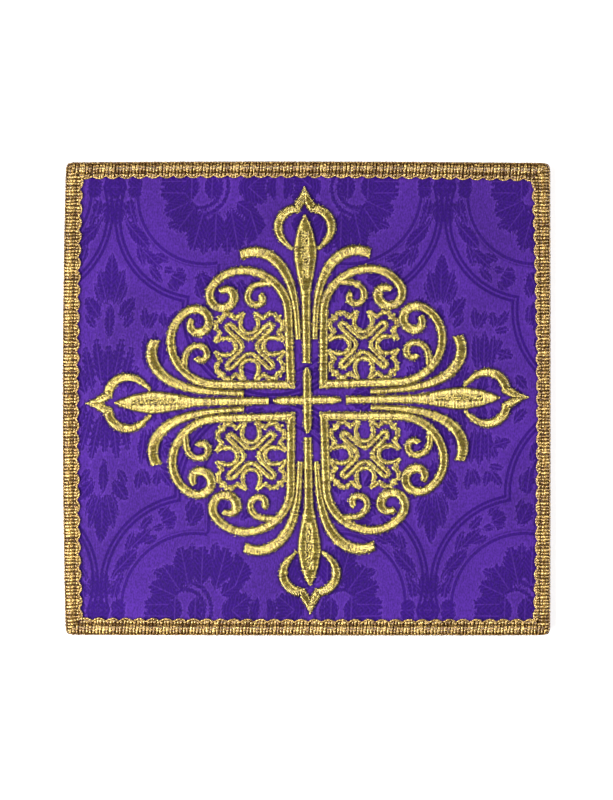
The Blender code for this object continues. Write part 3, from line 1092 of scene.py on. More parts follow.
@dataclass(frozen=True)
class Damask:
    """Figure of the damask, worked out in one quarter of its repeat.

    Quatrefoils stand in rows, joined by collars at their sides. p and q are distances
    from the nearest quatrefoil's middle, across and along the cloth, in mm.
    """

    centre_x: float = -8.7
    centre_y: float = 69.5
    repeat_x: float = 108.4
    repeat_y: float = 139.1
    lean: float = 0.040
    end_lobe_out: float = 39.4
    end_lobe_radius: float = 29.6
    side_lobe_p: float = 24.6
    side_lobe_q: float = 8.9
    side_lobe_radius: float = 28.3
    ring_p: float = 23.3
    ring_q: float = 2.0
    ring_radius: float = 23.3
    divider_p: float = 19.1
    divider_short: float = 1.5
    end_ring_radius: float = 22.6
    end_ring_lap: float = 3.0
    fruit_p: float = 25.5
    fruit_radii: tuple[float, ...] = (9.4, 6.9)
    husk_half: float = 0.7
    husk_point: float = 0.10
    husk_across: float = 0.6
    line_room: float = 1.4
    ring_room: float = 1.2
    ring_inside: float = 1.5
    far: float = 9.0
    vine: tuple[Leaf, ...] = (
        Leaf(49.6, 12.0, 42.0, 20.2, 3.3), Leaf(50.8, 9.0, 46.6, 17.4, 1.3),
        Leaf(46.0, 18.4, 43.6, 26.4, 1.8), Leaf(44.6, 20.2, 37.6, 27.2, 2.9, 0.5),
        Leaf(40.6, 22.0, 35.4, 24.4, 1.9), Leaf(41.8, 26.2, 37.4, 31.4, 2.0),
        Leaf(37.2, 26.8, 33.6, 27.6, 1.8), Leaf(34.6, 29.0, 29.6, 31.6, 4.2, 0.7, 1.8),
        Leaf(35.6, 31.0, 32.2, 34.6, 2.2), Leaf(33.4, 27.6, 30.0, 27.8, 1.8),
        Leaf(25.6, 27.4, 21.6, 35.8, 4.6, 0.8, 2.0), Leaf(26.4, 31.6, 24.4, 36.6, 1.9),
        Leaf(23.4, 37.0, 22.4, 47.6, 3.2, 0.4), Leaf(24.8, 38.6, 25.2, 45.4, 1.6),
        Leaf(22.6, 48.4, 18.6, 57.6, 3.1, 0.4), Leaf(18.2, 58.2, 10.4, 63.8, 3.0, 0.4),
        Leaf(9.6, 64.2, 1.4, 65.8, 2.8, 0.4), Leaf(16.2, 30.0, 13.2, 36.6, 2.4),
        Leaf(12.6, 30.4, 9.0, 36.0, 2.2), Leaf(8.6, 29.4, 4.2, 34.4, 2.0),
    )
    collar: tuple[Leaf, ...] = (
        Leaf(45.4, 0.0, 49.8, 0.0, 5.6, 0.4, 1.7), Leaf(50.4, 0.0, 58.0, 0.0, 5.2, 0.3, 1.5),
        Leaf(49.6, 8.8, 54.2, 3.6, 2.3), Leaf(48.2, 10.4, 49.4, 3.4, 2.6, 0.3),
        Leaf(54.2, 4.6, 54.2, 12.0, 2.6), Leaf(51.6, 6.8, 52.6, 13.2, 1.6),
        Leaf(46.4, 13.6, 48.8, 6.4, 1.5),
    )
    spandrel: tuple[Leaf, ...] = (
        Leaf(54.2, 37.6, 54.2, 21.6, 3.6), Leaf(53.2, 38.6, 50.0, 26.6, 2.5),
        Leaf(51.8, 39.0, 48.6, 31.0, 1.5), Leaf(54.2, 50.0, 54.2, 38.2, 2.4),
        Leaf(51.2, 43.4, 46.0, 35.8, 3.8, 0.7, 1.9), Leaf(49.6, 46.4, 46.4, 41.6, 2.0),
        Leaf(54.2, 69.0, 54.2, 50.4, 3.4, 0.6), Leaf(52.6, 66.0, 49.6, 48.0, 3.2, 0.8, 2.4),
        Leaf(50.0, 69.0, 46.0, 50.4, 3.0, 0.8, 2.4), Leaf(47.6, 69.4, 44.2, 57.6, 2.6, 0.6),
        Leaf(42.2, 46.7, 43.0, 39.3, 2.1), Leaf(41.6, 46.7, 38.9, 40.6, 2.1),
        Leaf(36.2, 46.3, 37.0, 40.7, 2.0), Leaf(35.6, 46.1, 31.4, 40.4, 2.1),
        Leaf(36.1, 47.6, 31.2, 46.6, 1.7), Leaf(35.6, 54.4, 33.7, 49.6, 1.9),
        Leaf(35.2, 54.2, 29.2, 55.8, 2.3), Leaf(34.4, 57.4, 30.6, 52.6, 1.7),
        Leaf(41.2, 60.2, 42.2, 47.8, 2.4), Leaf(39.0, 61.0, 39.3, 47.0, 2.6),
        Leaf(36.8, 60.0, 36.2, 48.4, 2.2), Leaf(40.0, 69.4, 38.4, 61.4, 3.0, 0.5),
        Leaf(36.0, 66.8, 33.0, 60.6, 2.3), Leaf(31.6, 66.4, 26.0, 69.0, 2.6),
        Leaf(28.6, 61.6, 24.6, 66.4, 2.3), Leaf(33.4, 69.4, 29.0, 64.0, 1.9),
    )
    bouquet: tuple[Leaf, ...] = (
        Leaf(29.1, 2.0, 40.0, 1.8, 5.4, 0.9, 2.1), Leaf(28.2, 4.4, 38.2, 9.0, 5.6, 0.9, 2.1),
        Leaf(27.1, 5.8, 33.8, 15.2, 5.8, 0.9, 2.2), Leaf(24.5, 6.9, 28.2, 21.8, 5.8, 0.9, 2.2),
        Leaf(20.6, 7.1, 20.6, 22.0, 5.6, 0.9, 2.2), Leaf(16.0, 6.4, 12.6, 21.6, 6.0, 0.9, 2.2),
        Leaf(10.3, 5.5, 4.8, 21.4, 6.0, 0.9, 2.2), Leaf(0.0, 9.0, 0.0, 25.0, 5.0, 0.9, 2.2),
        Leaf(31.6, 11.0, 37.0, 13.4, 2.6, 0.5, 1.8), Leaf(24.0, 14.6, 24.2, 22.6, 2.8, 0.5, 1.8),
        Leaf(16.8, 15.0, 16.4, 22.8, 2.8, 0.5, 1.8), Leaf(8.8, 14.6, 8.0, 23.6, 2.8, 0.5, 1.8),
        Leaf(22.3, -4.2, 22.3, 4.2, 3.6), Leaf(29.0, -4.2, 29.0, 4.2, 3.6),
        Leaf(13.8, -3.0, 4.0, 5.4, 6.2, 0.9, 2.4), Leaf(14.6, 4.6, 7.0, 9.6, 4.6, 0.9, 2.2),
        Leaf(4.0, -2.0, -3.0, 3.0, 6.0, 0.7, 2.0),
    )

    def folded(self, x: Array, y: Array) -> tuple[Array, Array]:
        """Fold the leaning repeat onto one quarter of itself.

        A place runs on by whole repeats, so p and q are the sizes of what is left over
        when the nearest whole repeat is taken off.

        Args:
            x: places across the veil, in mm.
            y: places up it, in mm.

        Returns:
            p and q of each point.
        """
        down = y - self.centre_y
        across = x - self.centre_x - self.lean * down
        half_x, half_y = self.repeat_x / 2, self.repeat_y / 2
        p = np.abs((across + half_x) % self.repeat_x - half_x)
        q = np.abs((down + half_y) % self.repeat_y - half_y)
        return p, q

    def outline(self, p: Array, q: Array) -> Array:
        """Signed distance to the quatrefoil: the least of those to its lobes' circles.

        Args:
            p: distances across the cloth from the middle of the repeat, in mm.
            q: distances along it, in mm.

        Returns:
            The distance in mm, below 0 inside the quatrefoil.
        """
        end = np.hypot(p, q - self.end_lobe_out) - self.end_lobe_radius
        side = np.hypot(p - self.side_lobe_p, q - self.side_lobe_q) - self.side_lobe_radius
        return np.minimum(end, side)

    def ring(self, p: Array, q: Array) -> Array:
        """Signed distance to the inner ring, the divider or the ring of the end lobe,
        whichever line is nearest.

        Args:
            p: distances across the cloth from the middle of the repeat, in mm.
            q: distances along it, in mm.

        Returns:
            The distance in mm, below 0 inside the rings and before the divider.
        """
        side = np.hypot(p - self.ring_p, q - self.ring_q) - self.ring_radius
        side = np.where(p > self.divider_p, side, self.far)
        lobe = (q > self.end_lobe_out) & (p < self.divider_p + self.end_ring_lap)
        end = np.hypot(p, q - self.end_lobe_out) - self.end_ring_radius
        end = np.where(lobe, end, self.far)
        low, high = self.ring_q + self.ring_radius, self.end_lobe_out - self.divider_short
        divider = np.where((q > low) & (q < high), p - self.divider_p, self.far)
        found = np.where(np.abs(side) < np.abs(end), side, end)
        return np.where(np.abs(found) < np.abs(divider), found, divider)

    def fruit(self, p: Array, q: Array) -> Array:
        """Signed distance to the fruit's husk: bands round it, drawn out to a point."""
        out = np.hypot(p - self.fruit_p, q) + self.husk_point * np.abs(p - self.fruit_p)
        return np.minimum.reduce([np.abs(out - band) - self.husk_half for band in self.fruit_radii])

    def values(self, x: Array, y: Array) -> dict[str, Array]:
        """Work out the values that draw the figure.

        Args:
            x: places across the veil, in mm.
            y: places up it, in mm.

        Returns:
            For each value's name, its number at each point: distances to the outline, to
            the rings and to the nearest leaf, and the place along and across that leaf.
        """
        p, q = self.folded(x, y)
        outline = self.outline(p, q)
        ring = np.where(outline < -self.ring_inside, self.ring(p, q), self.far)
        best = [np.full(p.shape, self.far), np.zeros(p.shape), np.ones(p.shape)]
        inside = outline < -self.line_room
        ringed = np.hypot(p - self.ring_p, q - self.ring_q) - self.ring_radius < -self.ring_room
        groups = ((self.vine, inside & ~ringed), (self.collar, np.ones(p.shape, bool)),
                  (self.spandrel, outline > self.line_room), (self.bouquet, inside & ringed))
        for leaves, where in groups:
            for one in leaves:
                found = one.measure(p, q)
                nearer = where & (found[0] < best[0])
                best = [np.where(nearer, new, old) for new, old in zip(found, best)]
        fruit = self.fruit(p, q)
        nearer = inside & (fruit < best[0])
        best[0] = np.where(nearer, fruit, best[0])
        best[2] = np.where(nearer, self.husk_across, best[2])
        return {"outline_mm": outline, "ring_mm": ring, "leaf_mm": best[0],
                "leaf_along": best[1], "leaf_across": best[2]}


@dataclass(frozen=True)
class DamaskPanel:
    """The stiffened panel: a fine grid for its face, a turned edge and a flat underside."""

    border: Border
    face: Face
    damask: Damask = Damask()
    finish: DamaskFinish = DamaskFinish()
    columns: int = 290
    rows: int = 282
    overhang: float = 0.7
    face_rim: float = 1.3
    edge_round: float = 0.35
    underside_inset: float = 1.7
    underside_middle: float = 30.0
    unstitched: float = 9.0

    def edge(self, number: int, count: int, inset: float) -> Array:
        """Place points along a side, corner to corner at an inset, both ends included.

        Args:
            number: the side, counted counter-clockwise from the right.
            count: how many points.
            inset: distance in from the edge, in mm.

        Returns:
            Points, each x and y in mm.
        """
        low, high = self.border.ends(number)
        along = np.linspace(low + inset, high - inset, count)
        return self.border.place(number, along, inset)

    def edges(self, inset: float) -> list[Array]:
        """Points along all four sides at an inset, counter-clockwise from the right."""
        counts = (self.rows, self.columns, self.rows, self.columns)
        return [self.edge(number, count, inset) for number, count in enumerate(counts)]

    def patch(self, inset: float) -> Array:
        """Fill the face with a grid by a Coons patch: the sum of the two lofts between
        opposite sides, less the bilinear patch of the corners.

        Args:
            inset: distance from the edge to the grid's rim, in mm.

        Returns:
            Points, rows x columns, each x and y in mm.
        """
        right, top, left, bottom = self.edges(inset)
        top, left = top[::-1], left[::-1]
        u = np.linspace(0, 1, self.columns)[None, :, None]
        v = np.linspace(0, 1, self.rows)[:, None, None]
        lofts = (1 - v) * bottom[None] + v * top[None]
        lofts = lofts + (1 - u) * left[:, None] + u * right[:, None]
        corners = ((1 - u) * (1 - v) * bottom[0] + u * (1 - v) * bottom[-1]
                   + (1 - u) * v * top[0] + u * v * top[-1])
        return lofts - corners

    def make(self, stitched: Array) -> bpy.types.Object:
        """Make the panel in place of its node.

        Args:
            stitched: points of the worked lines, in mm, which draw the cloth in.

        Returns:
            The finished object.
        """
        shell = Shell()
        inset = self.overhang + self.face_rim
        flat = self.patch(inset)
        distance = nearest_distance(flat.reshape(-1, 2), stitched).reshape(flat.shape[:2])
        level = self.face.height(flat[..., 0], flat[..., 1]) - self.face.drawn_in(distance)
        number = np.arange(self.rows * self.columns).reshape(self.rows, self.columns)
        corners = (number[:-1, :-1], number[:-1, 1:], number[1:, 1:], number[1:, :-1])
        quads = np.stack(corners, axis=-1)
        rim = np.concatenate([number[:-1, -1], number[-1, :0:-1], number[:0:-1, 0], number[0, :-1]])
        turned = self.turned_edge()
        count = len(rim)
        first = self.rows * self.columns
        rings = first + np.arange(len(turned) * count).reshape(len(turned), count)
        loops = [rim, *rings]
        sides = [
            np.stack([upper, lower, np.roll(lower, -1), np.roll(upper, -1)], axis=1)
            for upper, lower in zip(loops, loops[1:])
        ]
        middle = first + len(turned) * count
        fan = np.stack([rings[-1], np.full(count, middle), np.roll(rings[-1], -1)], axis=1)
        points = np.concatenate([
            np.concatenate([flat, level[..., None]], axis=-1).reshape(-1, 3),
            turned.reshape(-1, 3),
            np.zeros((1, 3)),
        ])
        beyond = np.full(len(points) - distance.size, self.unstitched)
        spread = np.concatenate([distance.ravel(), beyond])
        figure = self.damask.values(points[:, 0], points[:, 1])
        shell.add(points, [quads.reshape(-1, 4), *sides, fan], stitch_mm=spread, **figure)
        panel = shell.make("damask_panel", self.finish.material())
        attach(panel, BODY)
        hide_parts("panel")
        return panel

    def turned_edge(self) -> Array:
        """Place rings from the face's rim round the turned edge to the underside's middle.

        Returns:
            Points, rings x places x 3, in mm.
        """
        thick, bend = self.face.thick, self.edge_round
        levels = ((self.overhang + bend, thick - bend), (self.overhang, thick / 2),
                  (self.overhang + bend, bend), (self.overhang + self.underside_inset, 0.0),
                  (self.underside_middle, 0.0))
        rings = []
        for inset, height in levels:
            flat = np.concatenate([points[:-1] for points in self.edges(inset)])
            rings.append(np.concatenate([flat, np.full((len(flat), 1), height)], axis=1))
        return np.stack(rings)


def nearest_distance(points: Array, marks: Array, block: int = 2000) -> Array:
    """Distance in the plane from each point to the nearest mark, block by block.

    Args:
        points: points, each x and y in mm.
        marks: marks, each x and y in mm.
        block: how many points are worked out at once.

    Returns:
        A distance in mm for each point.
    """
    marks = marks.astype(np.float32)
    squares = (marks**2).sum(axis=1)
    found = []
    for start in range(0, len(points), block):
        part = points[start:start + block].astype(np.float32)
        gaps = (part**2).sum(axis=1)[:, None] + squares - 2 * part @ marks.T
        found.append(gaps.min(axis=1))
    return np.sqrt(np.maximum(np.concatenate(found), 0))


@dataclass(frozen=True)
class Cross:
    """The worked cross: its drawn lines, each made into raised satin stitch."""

    stitcher: SatinStitcher
    finish: ThreadFinish = ThreadFinish()
    split_over: float = 4.9
    spear: DrawnLine = DrawnLine(0.0, 12.4, 90.0, 2.5, (
        Bend(17.6, 0, 2.7), Bend(6.0, 0, 3.0), Bend(7.0, 0, 5.6), Bend(4.0, 0, 7.0),
        Bend(3.5, 0, 7.4), Bend(5.8, 0, 5.3), Bend(3.6, 0, 2.8), Bend(2.3, 0, 0.5)))
    lily: DrawnLine = DrawnLine(4.1, 50.5, 44.0, 0.9, (
        Bend(3.9, 4, 2.0), Bend(5.2, 42, 2.8), Bend(5.2, 49, 3.0), Bend(4.3, 36, 2.9),
        Bend(0, -53, 2.9), Bend(5.5, -4, 2.5)), corner_after=124.0, longest_corner=1.8)
    horn: DrawnLine = DrawnLine(2.65, 20.4, 88.0, 1.7, (
        Bend(9.0, -2.5, 1.9), Bend(8.3, -10, 2.5), Bend(6.4, -14, 3.1), Bend(5.5, -22, 3.4),
        Bend(5.4, -30, 3.5), Bend(6.0, -42, 3.1)), corner_after=40.0)
    frame: DrawnLine = DrawnLine(5.3, 5.3, 89.0, 2.7, (
        Bend(24.0, 0, 2.7), Bend(22.9, -89, 2.7), Bend(12.0, -59, 2.7), Bend(6.4, -78, 2.8),
        Bend(9.0, -133, 3.0), Bend(3.8, -90, 2.4), Bend(2.4, -36, 1.8)), corner_before=-88.0)
    scroll: DrawnLine = DrawnLine(11.2, 39.4, 2.0, 2.1, (
        Bend(4.2, -12, 2.0), Bend(6.0, -82, 2.1), Bend(4.5, -90, 2.2), Bend(3.3, -90, 2.2),
        Bend(1.9, -60, 1.9)))
    tracery_centre: float = 18.35
    notch: DrawnLine = DrawnLine(0.0, 4.4, 0.0, 1.45, (
        Bend(4.477, 90, 1.45), Bend(3.75, 26, 1.45), Bend(0, -144, 1.45), Bend(2.9, 0, 1.45),
        Bend(0, 65, 1.45), Bend(2.1, 0, 1.45), Bend(0, -42, 1.45), Bend(1.95, 0, 1.45),
        Bend(0, -59, 1.45), Bend(1.8, 0, 1.45)), corner_after=40.0, longest_corner=0.8)
    barb: DrawnLine = DrawnLine(8.7, 8.7, 45.0, 1.5, (Bend(2.3, 0, 0.7),))
    finger: DrawnLine = DrawnLine(0.0, 2.4, 0.0, 1.45, (
        Bend(1.885, 45, 1.45), Bend(5.86, 0, 1.45), Bend(1.571, -90, 1.45)))
    bar: DrawnLine = DrawnLine(0.0, 0.0, 90.0, 2.7, (
        Bend(8.6, 0, 2.6), Bend(1.5, 0, 1.9), Bend(0.9, 0, 0.7)))

    def drawn(self, line: DrawnLine) -> Stitches:
        """Stitches of one drawn line."""
        return line.stitches(self.stitcher.pitch, self.split_over)

    def squared(self, *sides: Stitches) -> list[Stitches]:
        """A tracery square: one side's lines turned round to all four, then moved."""
        turned = [side.turned(turn) for turn in QUARTERS for side in sides]
        return [side.moved(self.tracery_centre) for side in turned]

    def plan(self) -> list[StitchedPiece]:
        """Turn the drawn lines into their places.

        Returns:
            Every stitched piece: the centre cross, then the pieces of each quarter.
        """
        bar, spear, lily = (self.drawn(line) for line in (self.bar, self.spear, self.lily))
        frame, barb = self.drawn(self.frame), self.drawn(self.barb)
        notch, finger = self.drawn(self.notch), self.drawn(self.finger)
        horn, scroll = self.drawn(self.horn), self.drawn(self.scroll)
        wholes = {
            "spear": [spear],
            "lily": [lily, lily.flipped()],
            "frame": [frame, frame.mirrored()],
        }
        squares = {
            "outer": self.squared(notch, notch.mirrored(), barb),
            "inner": self.squared(finger, finger.mirrored()),
        }
        # The centre cross has its upright first, then its crossbar.
        pieces = [StitchedPiece("centre_cross", [bar.turned(turn) for turn in (0, 2, 1, 3)])]
        for quarter in QUARTERS:
            number = quarter + 1
            for label, halves in wholes.items():
                laid = [half.turned(quarter) for half in halves]
                pieces.append(StitchedPiece(f"{label}_{number}", laid))
            for label, halves in squares.items():
                laid = [half.turned(quarter) for half in halves]
                pieces.append(StitchedPiece(f"tracery_{label}_{number}", laid, low=True))
            for label, line in (("horn", horn), ("scroll", scroll)):
                for hand in Hand:
                    one = line.mirrored() if hand is Hand.MIRRORED else line
                    node = f"{label}_{number}{hand.value}"
                    pieces.append(StitchedPiece(node, [one.turned(quarter)]))
        return pieces

    def marks(self) -> Array:
        """Find where the worked lines draw the cloth in.

        Returns:
            The middle and both ends of each stitch, each x and y in mm.
        """
        found = []
        for piece in self.plan():
            for part in piece.parts:
                left, right = self.stitcher.lay(part.left), self.stitcher.lay(part.right)
                found += [left, right, (left + right) / 2]
        return np.concatenate(found)

    def make(self) -> list[bpy.types.Object]:
        """Make every stitched piece."""
        return [self.stitcher.make(piece, self.finish) for piece in self.plan()]


@dataclass(frozen=True)
class RibStation:
    """A place along a rib: its inset as a share of the rib's whole reach, its level over
    the face and the rib's radius there, in mm."""

    share: float
    level: float
    radius: float


@dataclass(frozen=True)
class RingCord:
    """A cord round all four sides: its inset, or what is taken off the scallops' reach,
    its level over the face and its radius, in mm, how light it is, and whether it follows
    the scallops."""

    inset: float
    level: float
    radius: float
    tone: float
    waved: bool = False


@dataclass(frozen=True)
class GimpBraid:
    """Gimp braid: an edge cord, ribs across it that are pinched at a row of holes, and a
    waved cord that holds their inner ends.

    Lengths are in mm. The pinch, the fan and the lean's pivot are shares of a rib's reach.
    """

    border: Border
    face: Face
    cord: ThreadFinish = ThreadFinish(
        "gold_gimp_cord", dark=(0.096, 0.036, 0.002), light=(0.63, 0.43, 0.13), metallic=0.62,
        rough_high=0.34, glint_depth=0.00024, grain=Grain(1700.0), coat_ior=1.40,
        glint_from=0.47, glint_to=0.62, wrap_pitch=1.05, wrap_share=0.30, tone_share=0.45)
    # Painted shade: this dark brown finish, on the band under the cords, stands for the shade in
    # the gaps between them.
    ground: ThreadFinish = ThreadFinish(
        "gap_shade_brown", dark=(0.040, 0.014, 0.003), light=(0.15, 0.062, 0.010), metallic=0.3,
        rough_low=0.45, rough_high=0.60, coat_ior=1.2)
    # Painted light: each side's ribs are made lighter or darker, as that side catches the lamps.
    side_painted_light: tuple[float, ...] = (0.0, -0.20, 0.12, -0.12)
    edge: RingCord = RingCord(0.36, 0.50, 0.30, -0.15)
    rim: RingCord = RingCord(0.34, 0.52, 0.34, 0.7, waved=True)
    cord_step: float = 0.28
    wander: float = 0.03
    level_jitter: float = 0.05
    size_jitter: float = 0.10
    rib_pitch: float = 1.10
    stations: tuple[RibStation, ...] = (
        RibStation(0.09, 0.34, 0.30), RibStation(0.14, 0.44, 0.44), RibStation(0.28, 0.62, 0.60),
        RibStation(0.44, 0.66, 0.60), RibStation(0.55, 0.50, 0.46), RibStation(0.60, 0.26, 0.20),
        RibStation(0.65, 0.46, 0.40), RibStation(0.72, 0.62, 0.54), RibStation(0.82, 0.62, 0.52),
        RibStation(0.96, 0.40, 0.34))
    pinch: float = 0.6
    rib_room: float = 0.25
    rib_jitter: float = 0.06
    corner_room: float = 0.22
    corner_lap: float = 0.1
    leans: tuple[float, ...] = (0.05, 0.25, -0.05, 0.30)
    lean_pivot: float = 0.3
    lean_jitter: float = 0.10
    scallop_pitch: float = 4.40
    scallop_power: float = 0.8
    valley: float = 0.77
    tip: float = 0.94
    fan: float = 0.16
    fan_from: float = 0.55
    fan_over: float = 0.4
    shade_band_columns: int = 560
    shade_band_edge: float = 0.35
    shade_band_levels: tuple[float, float] = (0.05, 0.30)
    shade_band_corner: float = 0.05
    shade_band_least: float = 0.02
    sides: int = 6
    seed: int = 21

    def solid(self, number: int, places: Array, inset: Array, level: Array) -> Array:
        """Points over the face at places along a side, insets and levels, in mm."""
        flat = self.border.place(number, places, inset)
        return np.concatenate([flat, (self.face.thick + level)[..., None]], axis=-1)

    def cords(self, shell: Shell, paths: Array, across: Array, radius: Array, tone: Array,
              ring: bool = False) -> None:
        """Add cords with their tone and the run along each, which its wrapping follows.

        Args:
            shell: the mesh to add to.
            paths: centre lines, cords x stations x 3, in mm.
            across: a direction across the cords.
            radius: the cords' radius at each station, in mm.
            tone: how light each cord is.
            ring: True for one cord that closes on itself.
        """
        points = tube_points(paths, across, radius, self.sides)
        steps = np.linalg.norm(np.diff(paths, axis=1), axis=-1)
        run = np.concatenate([np.zeros((len(paths), 1)), np.cumsum(steps, axis=1)], axis=1)
        shape = points.shape[:3]
        shell.add(points, tube_polygons(len(paths), paths.shape[1], self.sides, ring=ring),
                  tone=np.broadcast_to(tone, shape), run=np.broadcast_to(run[..., None], shape))

    def wave(self, number: int, places: Array) -> tuple[Array, Array]:
        """The scallops' reach over the braid's width, and the place in each scallop.

        The place runs from -1 to 1 over a scallop, in a whole number of scallops. The
        reach is valley + (tip - valley) cos(place pi / 2) ^ power.

        Args:
            number: the side, counted counter-clockwise from the right.
            places: places along the side, in mm.

        Returns:
            The reach as a share of the width, and the place in its scallop.
        """
        low, high = self.border.ends(number)
        count = max(1, int(round((high - low) / self.scallop_pitch)))
        part = (places - low) / (high - low) * count % 1 * 2 - 1
        swell = np.cos(part * math.pi / 2) ** self.scallop_power
        return self.valley + (self.tip - self.valley) * swell, part

    def ring_line(self, shell: Shell, cord: RingCord, random: np.random.Generator) -> None:
        """Add a cord that runs round all four sides, each side up to its mitres.

        Args:
            shell: the mesh to add to.
            cord: the cord's sizes.
            random: source of its unevenness.
        """
        flat = []
        for number in QUARTERS:
            low, high = self.border.ends(number)
            count = int((high - low) / self.cord_step)
            along = np.linspace(low, high, count)
            within = np.full(count, cord.inset)
            if cord.waved:
                width = self.border.width(number, along)
                within = width * self.wave(number, along)[0] - cord.inset
            kept = (along - low > within) & (high - along > within)
            flat.append(self.border.place(number, along, within)[kept])
        line = np.concatenate(flat)
        line = (np.roll(line, 1, axis=0) + 2 * line + np.roll(line, -1, axis=0)) / 4
        line = line + random.normal(0, self.wander, line.shape)
        height = self.face.thick + cord.level + random.normal(0, self.level_jitter, len(line))
        path = np.concatenate([line, height[:, None]], axis=1)[None]
        size = cord.radius * (1 + random.normal(0, self.size_jitter, (1, len(line))))
        self.cords(shell, path, np.array([0.0, 0.0, 1.0]), size, np.array(cord.tone), ring=True)

    def ribs(self, shell: Shell, random: np.random.Generator) -> None:
        """Add the ribs across the braid, plump, then pinched, then fanned in the scallops.

        Up to the pinch an inset is the station's share of the width. From there it runs
        evenly to the scallop's reach, less the rim cord's room.

        Args:
            shell: the mesh to add to.
            random: source of the ribs' unevenness.
        """
        share = np.array([station.share for station in self.stations])
        rise = np.array([station.level for station in self.stations])
        thick = np.array([station.radius for station in self.stations])
        for number in QUARTERS:
            low, high = self.border.ends(number)
            count = int(round((high - low) / self.rib_pitch))
            places = low + (np.arange(count) + 0.5) * (high - low) / count
            places = places + random.normal(0, self.rib_jitter, count)
            reach, part = self.wave(number, places)
            width = self.border.width(number, places)
            room = np.minimum(places - low, high - places)
            kept = room > width * self.corner_room
            places, part, width, room, reach = (
                item[kept, None] for item in (places, part, width, room, reach))
            pinched = self.pinch * width
            rest = width * reach - self.rib_room - pinched
            past = pinched + rest * (share - self.pinch) / (share[-1] - self.pinch)
            inset = np.where(share > self.pinch, past, width * share)
            inset = np.minimum(inset, room + self.corner_lap)
            fanned = np.clip((share - self.fan_from) / self.fan_over, 0, 1)
            spread = -self.fan * part * self.scallop_pitch / 2 * fanned
            lean = self.leans[number] + random.normal(0, self.lean_jitter, (len(places), 1))
            lean = lean * (share - self.lean_pivot) * 2
            level = rise * (1 + random.normal(0, self.size_jitter, (len(places), 1)))
            radius = thick * (1 + random.normal(0, self.size_jitter, (len(places), 1)))
            paths = self.solid(number, places + lean + spread, inset, level)
            out_x, out_y = self.border.outward(number)
            # Painted light: the side's shift makes its ribs lighter or darker, as that side catches
            # the lamps.
            tone = random.uniform(0.0, 1.0, (len(places), 1, 1)) + self.side_painted_light[number]
            self.cords(shell, paths, np.array([-out_y, out_x, 0.0]), radius, tone)

    def shade_band(self, shell: Shell) -> None:
        """Add a dark band under the cords: a flat closed band along each side. Its dark
        brown is a painted shade for the gaps between the cords.

        Args:
            shell: the mesh to add to.
        """
        bottom, top = self.shade_band_levels
        for number in QUARTERS:
            low, high = self.border.ends(number)
            along = np.linspace(low, high, self.shade_band_columns)
            width = self.border.width(number, along) * self.wave(number, along)[0] - self.rib_room
            mitre = np.minimum(along - low, high - along) - self.shade_band_corner
            outer = np.full_like(along, self.shade_band_edge)
            inner = np.maximum(np.minimum(width, mitre), outer + self.shade_band_least)
            corners = ((inner, bottom), (inner, top), (outer, top), (outer, bottom))
            section = np.stack([self.solid(number, along, inset, np.full_like(along, level))
                                for inset, level in corners], axis=1)
            shell.add(section, tube_polygons(1, len(along), 4), tone=0.0)

    def make(self) -> list[bpy.types.Object]:
        """Make the braid's pieces in place of its node.

        Returns:
            The finished objects, riding on the veil.
        """
        random = np.random.default_rng(self.seed)
        edge, ribs, rim, ground = Shell(), Shell(), Shell(), Shell()
        self.ring_line(edge, self.edge, random)
        self.ribs(ribs, random)
        self.ring_line(rim, self.rim, random)
        # The dark band under the cords is painted shade for the gaps between them.
        self.shade_band(ground)
        pieces = (("gimp_edge_cord", edge, self.cord), ("gimp_ribs", ribs, self.cord),
                  ("gimp_scallop_cord", rim, self.cord), ("gimp_gap_shade", ground, self.ground))
        made = []
        for name, shell, finish in pieces:
            thing = shell.make(name, finish.material())
            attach(thing, BODY)
            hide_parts("braid")
            made.append(thing)
        return made


@dataclass(frozen=True)
class Lamp:
    """A soft rectangular light: its place in metres, size, power and colour."""

    name: str
    place: tuple[float, float, float]
    size: tuple[float, float]
    power: float
    colour: Colour = (1.0, 0.99, 0.97)

    def make(self) -> None:
        """Make the light, facing the veil's middle."""
        data = bpy.data.lights.new(self.name, "AREA")
        data.shape = "RECTANGLE"
        data.size, data.size_y = self.size
        data.energy = self.power
        data.color = self.colour
        thing = bpy.data.objects.new(self.name, data)
        x, y, z = self.place
        thing.location = self.place
        thing.rotation_euler = (0.0, math.atan2(math.hypot(x, y), z), math.atan2(y, x))
        bpy.context.collection.objects.link(thing)


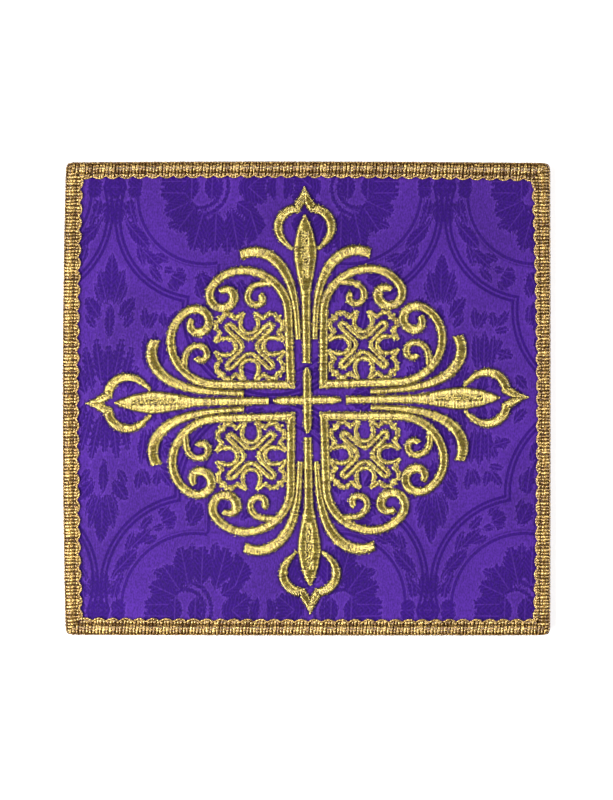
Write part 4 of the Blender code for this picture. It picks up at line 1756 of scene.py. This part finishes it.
@dataclass(frozen=True)
class Studio:
    """White sweep, soft lights from both sides, and a long lens straight above the veil."""

    lamps: tuple[Lamp, ...] = (
        Lamp("left_light", (-0.80, 0.15, 0.72), (0.70, 0.6), 14.9),
        Lamp("right_light", (0.80, 0.15, 0.72), (0.70, 0.6), 13.6),
        Lamp("low_light", (-0.32, -0.28, 0.34), (0.25, 0.25), 4.0),
    )
    world_grey: float = 0.10
    photo_height: int = 800
    veil_pixels: float = 487.0
    veil_width: float = 0.160
    middle_pixel_y: float = 398.5
    camera_height: float = 1.6
    sensor: float = 36.0
    face_level: float = 0.003
    sweep: FloorFinish = FloorFinish()
    sweep_sides: int = 64
    sweep_radius_mm: float = 3000.0
    sweep_depth_mm: float = 20.0

    def floor(self) -> None:
        """Make the sweep, a broad flat disc whose top the veil lies on."""
        count = self.sweep_sides
        ring = np.arange(count)
        turn = ring / count * 2 * math.pi
        rim = np.stack([np.cos(turn), np.sin(turn), np.zeros(count)], axis=1) * self.sweep_radius_mm
        under = rim - np.array([0.0, 0.0, self.sweep_depth_mm])
        walls = np.stack([ring + count, np.roll(ring, -1) + count, np.roll(ring, -1), ring], axis=1)
        shell = Shell()
        shell.add(np.concatenate([rim, under]), [ring[None], ring[None, ::-1] + count, walls])
        sweep = shell.make("floor", self.sweep.material())
        sweep.data.shade_flat()

    def camera(self) -> None:
        """Make the camera: the photo's height spans its sensor at the face's level."""
        data = bpy.data.cameras.new("camera")
        seen = self.photo_height * self.veil_width / self.veil_pixels
        data.sensor_width = self.sensor
        data.lens = self.sensor * (self.camera_height - self.face_level) / seen
        thing = bpy.data.objects.new("camera", data)
        lower = (self.middle_pixel_y - self.photo_height / 2) * self.veil_width / self.veil_pixels
        thing.location = (0.0, lower, self.camera_height)
        bpy.context.collection.objects.link(thing)
        bpy.context.scene.camera = thing

    def make(self) -> None:
        """Make the floor, lights, plain world and camera."""
        self.floor()
        for lamp in self.lamps:
            lamp.make()
        world = bpy.data.worlds.new("studio")
        world.use_nodes = True
        ground = world.node_tree.nodes["Background"]
        ground.inputs["Color"].default_value = (1.0, 1.0, 1.0, 1.0)
        ground.inputs["Strength"].default_value = self.world_grey
        bpy.context.scene.world = world
        bpy.context.scene.view_settings.view_transform = "Standard"
        self.camera()


def main() -> None:
    """Build the veil's pieces in order and report each."""
    logging.basicConfig(level=logging.INFO, format="%(message)s")
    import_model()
    border, face = Border(), Face()
    Studio().make()
    cross = Cross(SatinStitcher(face))
    made = [DamaskPanel(border, face).make(cross.marks())]
    made += GimpBraid(border, face).make()
    made += cross.make()
    for thing in made:
        thing.data.calc_loop_triangles()
        LOG.info("%s: %d triangles", thing.name, len(thing.data.loop_triangles))


if __name__ == "__main__":
    main()
